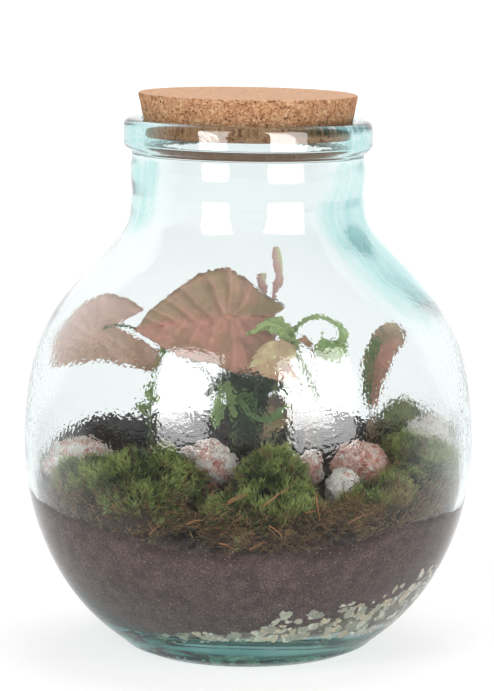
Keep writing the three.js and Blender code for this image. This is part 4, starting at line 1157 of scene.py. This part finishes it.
# A leaf's midrib runs from base past bow to tip. Its outlines are places along and beside the midrib,
# and its route is its stalk's, down to the soil.
LEAVES = {
    "leaf_large_bronze": {
        "base": (14, 5, 206), "bow": (-26, -20, 210), "tip": (-68, -45, 203), "side": (0, 0.5, 0.86),
        "fold": -0.12, "droop": 0.003, "wave": 0.55, "stem": 1.3, "slot": "bronze_leaf",
        "upper": [(84, 9.5), (64, 20.5), (47, 28), (30, 31.5), (16, 24.5), (3, 15), (-7, 11), (-12, 7)],
        "lower": [(84, 15), (66, 28), (44, 37), (24, 41), (9, 38)],
        "route": [(-12, -11, 206.6), (14, 5, 204.6), (21, 14, 196), (18, 21, 165), (14, 22, 132)],
        "colours": {"upper": (148, 122, 90), "lower": (182, 132, 114), "rib": (186, 124, 110),
                    "vein": (202, 152, 132), "edge": (84, 68, 40)},
    },
    "leaf_left_pink": {
        "base": (-84, 10, 198), "bow": (-104, 4, 190), "tip": (-121, -8, 176), "side": (-0.6, 0.35, 0.72),
        "fold": 0.06, "wave": 0.9, "ripple": 0.3, "stem": 1.2, "slot": "pink_leaf", "stalk": (74, 96, 50),
        "upper": [(34, 15), (16, 22), (-3, 24), (-17, 15), (-23, 2)],
        "lower": [(36, 6), (18, 15), (6, 23), (-5, 31), (-15, 34), (-20, 27), (-13, 16)],
        "route": [(-92, 8, 196.6), (-83, 10, 199), (-68, 17, 195), (-32, 36, 172), (-8, 40, 145),
                  (-4, 40, 128)],
        "colours": {"upper": (198, 160, 146), "lower": (174, 140, 112), "rib": (204, 162, 148),
                    "vein": (212, 176, 160), "edge": (146, 124, 90)},
    },
    "leaf_small_centre": {
        "base": (25, -27, 181), "bow": (14, -34, 185), "tip": (0, -39, 179), "side": (0, 0.45, 0.89),
        "fold": -0.25, "wave": 2, "ripple": 0.5, "stem": 1.0, "slot": "bronze_leaf",
        "upper": [(22, 7), (12, 13), (2, 13.5), (-6, 8)],
        "lower": [(22, 7), (12, 12), (2, 13), (-5, 9)],
        "route": [(18, -30.5, 181.6), (25, -26.5, 180), (31, -16, 166), (30, 4, 148), (27, 14, 130)],
        "colours": {"upper": (190, 184, 132), "lower": (176, 112, 104), "rib": (176, 140, 112),
                    "vein": (192, 172, 134), "edge": (160, 122, 96)},
    },
    "leaf_right_folded": {
        "base": (78, 14, 146), "bow": (78, 15, 198), "tip": (97, 20, 199), "side": (-1, 0.1, 0.1),
        "fold": 0.75, "wave": 1.5, "ripple": 0.3, "stem": 1.3, "slot": "dry_leaf",
        "upper": [(54.5, 5), (50, 7), (34, 8), (18, 8), (3, 4)],
        "lower": [(54.5, 7), (48, 11.5), (34, 11.5), (18, 9), (3, 2.5)],
        "route": [(78, 15.6, 156), (77.5, 15, 146), (76.5, 14, 132)],
        "colours": {"upper": (70, 104, 42), "lower": (204, 142, 122), "rib": (132, 110, 72),
                    "vein": (170, 132, 104), "edge": (140, 96, 72), "tip": (178, 148, 108)},
    },
    "leaf_low_dry": {
        "base": (26, -1, 152), "bow": (20, -9, 149), "tip": (9, -17, 132), "side": (0.77, -0.1, -0.62),
        "fold": 0.3, "wave": 2, "ripple": 0.6, "stem": 0.9, "slot": "dry_leaf",
        "upper": [(20, 7), (11, 10.5), (1, 6)],
        "lower": [(20, 7), (11, 11), (1, 6)],
        "route": [(22, -5, 149.3), (28, -1, 151), (35, 1, 146), (37, 2, 130)],
        # The dark purple-brown base colour is painted shadow on the upper part of this hanging leaf
        "colours": {"upper": (150, 130, 88), "lower": (160, 136, 92), "rib": (130, 108, 74),
                    "vein": (136, 114, 78), "edge": (96, 66, 60), "base": (74, 52, 50)},
    },
    "leaf_small_tan": {
        "base": (39, 9, 188), "bow": (36, 8, 193), "tip": (31, 7, 193), "side": (0.3, 0.3, 0.9),
        "fold": 0.2, "stem": 0.8, "slot": "dry_leaf",
        "upper": [(6, 3), (0, 3)],
        "lower": [(6, 3), (0, 3)],
        "route": [(36.5, 8.5, 190), (39.5, 10, 185), (41, 14, 160), (41, 16, 130)],
        "colours": {"upper": (190, 146, 112), "lower": (176, 132, 100), "rib": (150, 108, 80),
                    "vein": (160, 118, 88), "edge": (120, 84, 60)},
    },
}
LEAF_THICKNESS = 0.6
# Half as many rows and columns go into a leaf shorter than this
LEAF_GRID = {"rows": 90, "columns": 34, "small": 45}
STEM_DEPTH = 11
STEM_STRAIGHT = 15
# Side veins, as the share of the leaf's length where they leave the midrib and their angle from it
VEINS = [(0.80, 38), (0.67, 43), (0.54, 50), (0.42, 60), (0.32, 80), (0.30, 108), (0.28, 140)]
VEIN_CURVE = 0.005
VEIN_WIDTH = 0.75
VEIN_HOLLOW = 4.2
RIB_WIDTH = 1.1
ROLLED = {
    "leaf_young_tall": {
        "foot": (16, 34), "top": [(17, 33, 205), (16.5, 30, 216), (20, 30, 230), (19, 30, 248)],
        "radius": 2.7, "from": 0.74},
    "leaf_young_short": {
        "foot": (9, 42), "top": [(11, 40, 205), (12, 33, 216), (9.5, 32, 225), (11, 32, 232.5)],
        "radius": 3.0, "from": 0.86},
}
ROLLED_STEM = 0.95
ROLLED_STEPS = 150
ROLLED_SIDES = 24
ROLLED_PINK = rgb(208, 164, 156)
ROLLED_CREAM = rgb(212, 202, 168)
ROLLED_GREEN = rgb(150, 128, 96)


def leaf_surface(name):
    return cover(name, 0.42, 1.4, 0.08, 0.08, 0.45, Subsurface_Weight=0.12,
                 Subsurface_Radius=(0.002, 0.0014, 0.0008), Subsurface_Scale=1.0)


def planted(foot, route):
    """Route that starts straight up from a foot in the soil"""
    x, y = (float(value) for value in foot[:2])
    low = float(smooth_soil_top(x, y)) - STEM_DEPTH
    return [(x, y, low), (x, y, low + STEM_STRAIGHT), *route]


def add_stem(heap, route, radius, low, high, sides=10, count=60):
    """Round stalk whose colour changes from its foot to its top"""
    path = smooth_route(route, count)
    share = np.linspace(0, 1, count)
    thick = radius * (1 - 0.25 * share) * (1 + 0.06 * noise(path, 4, 91))
    heap.add_tube(*tube(path, thick, sides), mixed(rgb(*low), rgb(*high), share), sides)


def leaf_point(leaf, a, b):
    """Point of a leaf at a along its midrib and b across it"""
    base, bow, tip, side = (np.array(leaf[key], float) for key in ("base", "bow", "tip", "side"))
    t = np.clip(a / np.linalg.norm(tip - base), 0, 1)[..., None]
    middle = (1 - t) ** 2 * base + 2 * t * (1 - t) * bow + t**2 * tip
    middle = middle + unit(bow - base) * np.minimum(a, 0)[..., None]
    way = unit((1 - t) * (bow - base) + t * (tip - bow))
    across = unit(side - way * (way @ side)[..., None])
    wave = leaf.get("wave", 0) * np.sin(leaf.get("ripple", 0.2) * a + np.sign(b)) * (b / 20) ** 2
    lift = leaf["fold"] * np.abs(b) - leaf.get("droop", 0) * b * b + wave
    return middle + across * b[..., None] + np.cross(way, across) * lift[..., None]


def vein_pattern(a, b, size, length, seed):
    """How close a place on a leaf is to its midrib, a side vein and the hollow along it, from 0 to 1"""
    wander = size * noise(joined(a, b, 0), 9 * size, seed)
    line, hollow = np.zeros_like(a), np.zeros_like(a)
    for share, angle in VEINS:
        start = (share + 0.02 * np.sign(b)) * length
        c, s = math.cos(math.radians(angle)), math.sin(math.radians(angle))
        out = (a - start) * c + np.abs(b) * s
        beside = (a - start) * s - np.abs(b) * c - VEIN_CURVE / size * out**2 + wander
        shown = fade(out, 0, 3 * size)
        line = np.maximum(line, shown * bell(beside, VEIN_WIDTH * size))
        hollow = np.maximum(hollow, shown * bell(beside, VEIN_HOLLOW * size))
    rib = bell(b, RIB_WIDTH * size) * (0.35 + 0.65 * fade(a / length, 0.2, 0.3))
    return rib, line, hollow


def leaf_colours(leaf, across, along_leaf, points, veins, seed):
    tones = {key: rgb(*value) for key, value in leaf["colours"].items()}
    rib, line, hollow = veins
    half = fade(across, -0.04, 0.04)
    colour = mixed(tones["lower"], tones["upper"], half)
    blotch = fade(rough(points, 14, 3, seed), -0.2, 0.4)
    edge = fade(np.abs(across), 0.9, 0.97) * (0.7 + 0.3 * noise(points, 6, seed + 5))
    flush = bell(across, 0.2) * fade(noise(points, 18, seed + 4), -0.6, 0.5) * 0.6
    for tone, share in (
            (mixed(tones["upper"], tones["lower"], half), 0.5 * blotch),
            (tones["rib"], 0.26 * hollow * (0.6 + 0.4 * noise(points, 9, seed + 6))),
            (tones["rib"], flush),
            (tones.get("tip"), 0.85 * fade(along_leaf, 0.74, 0.8)),
            # The base colour, given for one leaf, is painted shadow near its stalk
            (tones.get("base"), 0.85 * (1 - fade(along_leaf, 0.3, 0.65))),
            (tones["edge"], 0.8 * edge), (tones["vein"], 0.6 * line), (tones["rib"] * 1.1, 0.75 * rib)):
        colour = colour if tone is None else mixed(colour, tone, share)
    mottle = 1 + 0.12 * noise(points, 7, seed + 7) + 0.13 * rough(points, 3.2, 3, seed + 8)
    return colour * mottle[..., None]


def add_blade(heap, leaf, seed):
    length = np.linalg.norm(np.subtract(leaf["tip"], leaf["base"]))
    fewer = 2 if length < LEAF_GRID["small"] else 1
    i = np.linspace(0, 1, LEAF_GRID["rows"] // fewer + 1)[:, None]
    across = np.linspace(-1, 1, 2 * (LEAF_GRID["columns"] // fewer) + 1)[None] + 0 * i
    share = np.abs(across)
    outlines = [[(length, 0), *leaf[half]] for half in ("lower", "upper")]
    lower, upper = (even_curve(points, np.arange(len(points)), i[:, 0], 500)[:, None] for points in outlines)
    margin = np.where(across[..., None] >= 0, upper, lower)
    a = between((length * (1 - i), margin[..., 0]), share)
    b = margin[..., 1] * across
    middle = leaf_point(leaf, a, b * (1 + 0.03 * noise(joined(a, 0, 0), 3.0, seed) * share))
    size = length / 90
    veins = vein_pattern(a, b, size, length, seed)
    rib, _, hollow = veins
    normal = normals_of(middle)
    normal[0] = normal[2].mean(0)
    quilt = 2.0 * (1 - hollow) * fade(1 - share, 0, 0.15) - 0.9 * rib
    crumple = 0.9 * noise(middle, 13 * size, seed + 1) * share + 0.3 * noise(middle, 5 * size, seed + 2)
    middle = middle + normal * (size * (quilt + crumple))[..., None]
    thick = LEAF_THICKNESS * (1 + 1.3 * rib - 0.35 * fade(share, 0.9, 1))
    heap.add_sheet(middle, thick, leaf_colours(leaf, across, a / length, middle, veins, seed + 3), 0.92)


def leaves():
    look = leaf_surface("arrowhead_leaf")
    for order, (name, leaf) in enumerate(LEAVES.items()):
        heap = Heap()
        add_blade(heap, leaf, 200 + 20 * order)
        route = planted(leaf["route"][-1], leaf["route"][::-1])
        add_stem(heap, route, leaf["stem"], (96, 104, 58), leaf.get("stalk", (168, 124, 104)))
        heap.dress(name + "_blade", look, leaf["slot"], name)


def rolled_leaves():
    """Young leaves still rolled into wavy spindles, pink outside with a cream edge"""
    look = leaf_surface("young_leaf")
    count, sides = ROLLED_STEPS, ROLLED_SIDES
    share = np.linspace(0, 1, count)
    angle = np.tile(circle(sides), count)
    for name, leaf in ROLLED.items():
        path = smooth_route(planted(leaf["foot"], leaf["top"]), count)
        inner = np.clip((share - leaf["from"]) / (1 - leaf["from"]), 0, 1)
        swell = fade(inner, 0.02, 0.5) * np.sqrt(1 - ((inner - 0.9) / 0.1).clip(0) ** 2)
        radius = between((ROLLED_STEM, leaf["radius"]), swell * (1 + 0.28 * np.sin(inner * 17 + 1.0)))
        points, faces = tube(path, radius, sides)
        centre, inner, swell = (np.repeat(part, sides, 0) for part in (path, inner, swell))
        spiral = np.sin(angle + inner * 5.0)
        ridge = 0.22 * swell * np.sign(spiral) * np.abs(spiral) ** 0.5
        body = centre + (points[:-2] - centre) * (1 + ridge)[:, None]
        body[:, 1] = between((centre[:, 1], body[:, 1]), 0.65)
        shade = mixed(ROLLED_PINK, ROLLED_CREAM, fade(np.sin(angle - 0.6 + inner * 3), -0.1, 0.7))
        shade = mixed(ROLLED_GREEN, shade, fade(np.repeat(share, sides), 0.45, 0.75))
        heap = Heap()
        heap.add_tube(np.vstack([body, points[-2:]]), faces, shade, sides)
        heap.dress(name + "_roll", look, "pink_leaf", name)


# Ferns

# A frond's leaflets begin at a share of its route. Its ribbon is given as shares and half widths.
FRONDS = {
    "frond_upper": {
        "route": [(16, 4, 150), (22, -4, 176), (26, -10, 190), (23, -12, 200), (14, -13, 204), (2, -14, 199)],
        "from": 0.52, "width": 4.5, "pairs": 10, "dark": (76, 98, 48), "light": (172, 190, 124),
        "ribbon": [(0, 1.5), (0.15, 4.5), (0.7, 5.2), (0.92, 3.6), (1, 1)],
    },
    "frond_curled": {
        "route": [(44, 4, 150), (30, 0, 186), (26, 0, 196), (33, 0, 203.5), (41, -1, 208), (50, -2, 207),
                  (57, -2, 202), (59, -1, 196), (56, 0, 188), (49, 0, 186), (46, 1, 198)],
        "from": 0.34, "width": 1.8, "pairs": 9, "dark": (104, 134, 60), "light": (172, 192, 132),
        "ribbon": [(0, 1.3), (0.3, 1.9), (0.66, 1.4), (0.76, 3.2), (0.86, 6.5), (0.96, 5.0), (1, 1.5)],
    },
    "frond_ribbon_left": {
        "route": [(-9, -6, 140), (-11, -6, 158), (-14, -7, 165), (-18, -9, 158), (-20, -11, 138)],
        "from": 0.45, "width": 3.0, "pairs": 6, "dark": (84, 114, 56), "light": (146, 174, 102),
        "ribbon": [(0, 1.5), (0.2, 2.8), (0.6, 2.4), (0.86, 4.0), (1, 1.5)],
    },
    "frond_wavy": {
        "route": [(7, 6, 140), (3, 6, 154), (-3, 3, 158), (-2, -5, 150), (6, -13, 145), (15, -20, 146),
                  (24, -22, 154)],
        "from": 0.4, "width": 2.6, "pairs": 8, "dark": (60, 94, 42), "light": (112, 148, 80),
        "ribbon": [(0, 1.5), (0.2, 2.5), (0.5, 1.9), (0.9, 2.2), (1, 0.8)],
    },
    # The two back fronds get much darker greens than the others, as painted shade
    "frond_back_left": {
        "route": [(-5, 16, 140), (-6, 13, 160), (-14, 10, 168), (-22, 8, 160)],
        "from": 0.3, "width": 12, "pairs": 13, "dark": (20, 34, 15), "light": (58, 84, 36),
    },
    "frond_back_right": {
        "route": [(4, 14, 140), (5, 9, 160), (12, 4, 168), (22, 2, 163)],
        "from": 0.3, "width": 12, "pairs": 13, "dark": (22, 36, 16), "light": (62, 90, 38),
    },
}
FROND_STEPS = 160
FROND_TIP = 0.6
FROND_STEM = 0.8
FROND_THICKNESS = 0.4
RIBBON_STEPS = 200
RIBBON_COLUMNS = 6
LEAFLET_ROWS = 7
LEAFLET_COLUMNS = 3
SHOOT_LEFT = [(-60, 2, 126), (-62, 1, 147), (-59, 0, 165), (-54, 0, 186)]
# Base, tip and half width
SHOOT_LEAVES = [
    ((-61.8, 1, 146), (-69, -3, 152), 3.6), ((-61, 0.8, 152), (-54, -3, 156), 3.2),
    ((-59, 0, 164), (-62.5, -6, 156), 3.8), ((-54.4, 0, 184), (-48, -2, 189), 3),
]


def add_leaflet(heap, base, axes, length, width, seed, dark, light):
    """Small rounded leaflet with a waved edge, cupped along its middle"""
    i = np.linspace(0, 1, LEAFLET_ROWS + 1)[:, None]
    j = np.linspace(-1, 1, 2 * LEAFLET_COLUMNS + 1)[None]
    half = width * np.sqrt(np.clip(1 - (1.9 * i - 0.9) ** 2, 0.02, 1)) * (0.75 + 0.25 * i)
    x = length * i
    y = half * j * (1 + 0.14 * np.sin(i * 15 + seed) * np.abs(j))
    z = -0.22 * np.abs(y) - 0.10 * x * i + 0.35 * np.sin(i * 5 + seed * 1.7) * np.abs(j) * width * 0.3
    tone = np.clip(0.25 + 0.5 * i + 0.3 * np.sin(seed * 3.1) - 0.3 * (np.abs(j) < 0.1), 0, 1)
    heap.add_sheet(base + joined(x, y, z) @ np.array(axes), FROND_THICKNESS, mixed(dark, light, tone))


def add_ribbon(heap, route, half, seed, dark, light):
    """Ruffled strip along a route, with a ragged edge and its face to the front"""
    across, face = facing_viewer(frames(route)[0])
    j = np.linspace(-1, 1, 2 * RIBBON_COLUMNS + 1)[None]

    def edges(shift, *layers):
        """Noise along both edges, each on its own side of the strip"""
        both = np.stack([route, route + shift], 1)
        value = sum(depth * noise(both, size, seed + k) for depth, size, k in layers)
        return np.where(j < 0, value[:, :1], value[:, 1:])

    reach = half[:, None] * j * (1 + edges(40, (0.28, 3.4, 0), (0.26, 1.3, 1)))
    lift = np.abs(reach) * (edges(70, (0.55, 6, 2)) - 0.2)
    middle = route[:, None] + across[:, None] * reach[..., None] + face[:, None] * lift[..., None]
    tone = 0.45 + 0.45 * noise(middle, 5, seed + 3) + 0.3 * noise(middle, 1.6, seed + 4) + 0.15 * np.abs(j)
    heap.add_sheet(middle, FROND_THICKNESS, mixed(dark, light, np.clip(tone, 0, 1)))


def frond(name, fern, order, look):
    rng = np.random.default_rng(500 + order)
    heap = Heap()
    stalk = planted(fern["route"][0], fern["route"])
    route = smooth_route(stalk, FROND_STEPS)
    way = frames(route)[0]
    tones = rgb(*fern["dark"]), rgb(*fern["light"])
    add_stem(heap, stalk, FROND_STEM, (70, 74, 38), fern["light"], 8, 80)
    if "ribbon" in fern:
        strip = smooth_route(route[int(fern["from"] * (FROND_STEPS - 1))::6], RIBBON_STEPS)
        half = along(fern["ribbon"], np.linspace(0, 1, RIBBON_STEPS))
        add_ribbon(heap, strip, half, 520 + 10 * order, *tones)
    for k in range(fern["pairs"]):
        share = (k + 0.5) / fern["pairs"]
        at = int(between((fern["from"], 1), share) * (FROND_STEPS - 1))
        across, face = facing_viewer(way[at])
        swell = 0.6 + 0.4 * math.sin(math.pi * min(1, share * 1.3))
        grown = 1 + (FROND_TIP - 1) * fade(share, 0.7, 0.95)
        for side in (-1, 1):
            length = fern["width"] * swell * grown * (0.85 + 0.3 * rng.random())
            lean = 0.45 + 0.35 * rng.random()
            out = unit(across * side + way[at] * lean + face * (0.5 * rng.random() - 0.15))
            beside = unit(np.cross(face, out)) * side
            axes = (out, beside, unit(np.cross(out, beside)) * side)
            add_leaflet(heap, route[at], axes, length, length * 0.42, rng.random() * 9, *tones)
    tip = unit(way[-1] + 0.2 * TOWARDS_VIEWER)
    size = fern["width"] * FROND_TIP
    add_leaflet(heap, route[-1], (tip, *facing_viewer(tip)), size, size * 0.5, 2.0, *tones)
    heap.dress(name + "_leaflets", look, "fern_green", name)


def ferns():
    look = leaf_surface("fern_leaf")
    for order, (name, fern) in enumerate(FRONDS.items()):
        frond(name, fern, order, look)


def shoot_left():
    heap = Heap()
    add_stem(heap, planted(SHOOT_LEFT[0], SHOOT_LEFT), 1.0, (86, 96, 50), (120, 146, 76), 8, 60)
    for order, (base, tip, width) in enumerate(SHOOT_LEAVES):
        way = np.subtract(tip, base)
        axes = (unit(way), *facing_viewer(unit(way)))
        tones = rgb(84, 116, 52), rgb(142, 168, 92)
        add_leaflet(heap, np.array(base), axes, np.linalg.norm(way), width, 1.0 + order, *tones)
    heap.dress("shoot_left_leaves", leaf_surface("shoot_leaf"), "fern_green", "shoot_left")


# Stage, light and camera

# How bright the room behind the camera looks in the glass, against the white behind the jar
ROOM_FRONT = 0.12
# Brightness of the white world behind the jar, above 1 so that it shows no tone
BACKGROUND = 1.13
# Skins of glass between the two sides of the jar
SKINS_OF_THE_JAR = 4
# Brightness of the room as a light
AMBIENT = 0.25
CAMERA_AT = (-0.75, -2150, 473.7)
CAMERA_DOWN = 7.54
CAMERA_LENS = 181.67
FLOOR_SIZE = 9000
FLOOR_LEVEL = -0.05
SOFTBOX_FAR = 1000
SOFTBOX_STRENGTH = 8.5
# How much brighter the softboxes look in the glass than they light the planting
SOFTBOX_SHINE = 2.3
# Each softbox is seen in the belly from a place on it, in a direction from there
SOFTBOXES = {
    "left": {"from": (-36, -125, 177), "azimuth": -33.5, "elevation": 21.5, "size": (530, 900)},
    "right": {"from": (42, -128, 165), "azimuth": 39, "elevation": 20.5, "size": (720, 880)},
}
# The outer share of a softbox is dimmer than its middle
SOFTBOX_EDGE = (0.12, 0.15)
SOFTBOX_EDGE_SHINE = 0.42
# Place, size and strength
LAMPS = {
    "key": ((-900, -1500, 1500), 900, 7.0),
    "fill": ((1300, -1300, 700), 900, 3.5),
    "top": ((200, 300, 1900), 1200, 4.0),
}
RENDERING = {
    "max_bounces": 20, "transmission_bounces": 16, "transparent_max_bounces": 24, "glossy_bounces": 16,
    "diffuse_bounces": 3, "caustics_reflective": False, "caustics_refractive": True}


def front_to_back(look, place, front, back):
    """Brightness of the room: from dark in front to white behind, and white through the whole jar"""
    mirrored = look.step(look.xyz(place)["Y"], front, back, ROOM_FRONT, BACKGROUND)
    through = look.math("COMPARE", look.node("LightPath")["Ray Depth"], SKINS_OF_THE_JAR, 0.5)
    return look.choice(through, mirrored, BACKGROUND)


def floor():
    x, y = np.array([(-1, 1, 1, -1), (-1, -1, 1, 1)]) * FLOOR_SIZE / 2
    plane = mesh_object("floor", joined(x, y, FLOOR_LEVEL), np.array([[0, 1, 2, 3]]))
    look = material("pale_floor", Base_Color=grey(0.35), Roughness=0.6, Specular_IOR_Level=0.0,
                    Emission_Color=grey(1.0))
    away = look.vector("LENGTH", look.place())["Value"]
    look.give(Emission_Strength=look.step(away, 0.3, 2.5, 0.74, 1.0))
    mirrored = front_to_back(look, look.place(), -0.3, 0.25)
    look.instead("Is Glossy Ray", look.node("Emission", {"Strength": mirrored})[0])
    plane.data.materials.append(look.owner)
    return plane


def area_light(name, at, target, size, strength, pieces):
    """Soft light on some pieces: the strength is its brightness, so that it keeps when the size changes"""
    data = bpy.data.lights.new(name, "AREA")
    data.shape = "RECTANGLE"
    data.size, data.size_y = size[0] * MM, size[1] * MM
    data.energy = strength * math.pi * data.size * data.size_y
    x, y, z = np.subtract(target, at)
    lamp = placed(name, data, location=np.array(at) * MM, visible_camera=False, visible_transmission=False,
                  rotation_euler=(math.atan2(math.hypot(x, y), -z), 0, math.atan2(-x, y)))
    lit = bpy.data.collections.new(name + "_lights")
    for piece in pieces:
        lit.objects.link(piece)
    lamp.light_linking.receiver_collection = lit
    return lamp


def from_softbox_edge(look):
    """Brightness of a softbox at a place on it, from dim at its edge to 1"""
    x, y, _ = look.xyz(look.node("NewGeometry")["Parametric"])
    up = look.math("SUBTRACT", 1.0, look.math("ADD", x, y))
    near = [look.math("MINIMUM", value, look.math("SUBTRACT", 1.0, value)) for value in (y, up)]
    return look.step(look.math("MINIMUM", *near), *SOFTBOX_EDGE, SOFTBOX_EDGE_SHINE, 1.0)


def lights(jar, outside):
    """The softboxes light the planting through the glass, and the lamps what is outside it"""
    for name, box in SOFTBOXES.items():
        turn, rise = math.radians(box["azimuth"]), math.radians(box["elevation"])
        at = box["from"] + SOFTBOX_FAR * around(math.cos(rise), turn - math.pi / 2, math.sin(rise))
        softbox = area_light("softbox_" + name, at, box["from"], box["size"], SOFTBOX_STRENGTH, [jar])
        softbox.visible_diffuse = False
        look = Look(softbox.data, "Emission")
        lighting = look.math("GREATER_THAN", look.node("LightPath")["Diffuse Depth"], 0.5)
        shine = look.times(from_softbox_edge(look), SOFTBOX_SHINE)
        look.give(Strength=look.choice(lighting, shine, 1.0))
    for name, (at, size, strength) in LAMPS.items():
        area_light(name, at, (0, 0, 150), (size, size), strength, outside)


def world():
    made = bpy.data.worlds.new("white_room")
    bpy.context.scene.world = made
    look = Look(made, "Background", Color=grey(1.0))
    mirrored = front_to_back(look, look.node("TexCoord")["Generated"], -0.2, 0.5)
    path = look.node("LightPath")
    seen = look.choice(path["Is Glossy Ray"], BACKGROUND, mirrored)
    lighting = look.math("GREATER_THAN", path["Diffuse Depth"], 0.5)
    look.give(Strength=look.choice(lighting, seen, AMBIENT))
    made.cycles.sampling_method = "NONE"


def camera():
    data = set_on(bpy.data.cameras.new("camera"), sensor_fit="VERTICAL", sensor_height=36,
                  lens=CAMERA_LENS, clip_end=100)
    turn = (math.radians(90 - CAMERA_DOWN), 0, 0)
    made = placed("camera", data, location=np.array(CAMERA_AT) * MM, rotation_euler=turn)
    bpy.context.scene.camera = made


def rendering():
    scene = bpy.context.scene
    scene.view_settings.view_transform = "Standard"
    set_on(scene.cycles, **RENDERING)


jar = glass_jar()
cork = cork_stopper()
soil()
soil_crumbs()
gravel()
gravel_chips()
stones()
moss()
pine_needles()
leaves()
rolled_leaves()
ferns()
shoot_left()
lights(jar, [cork, floor()])
world()
camera()
rendering()
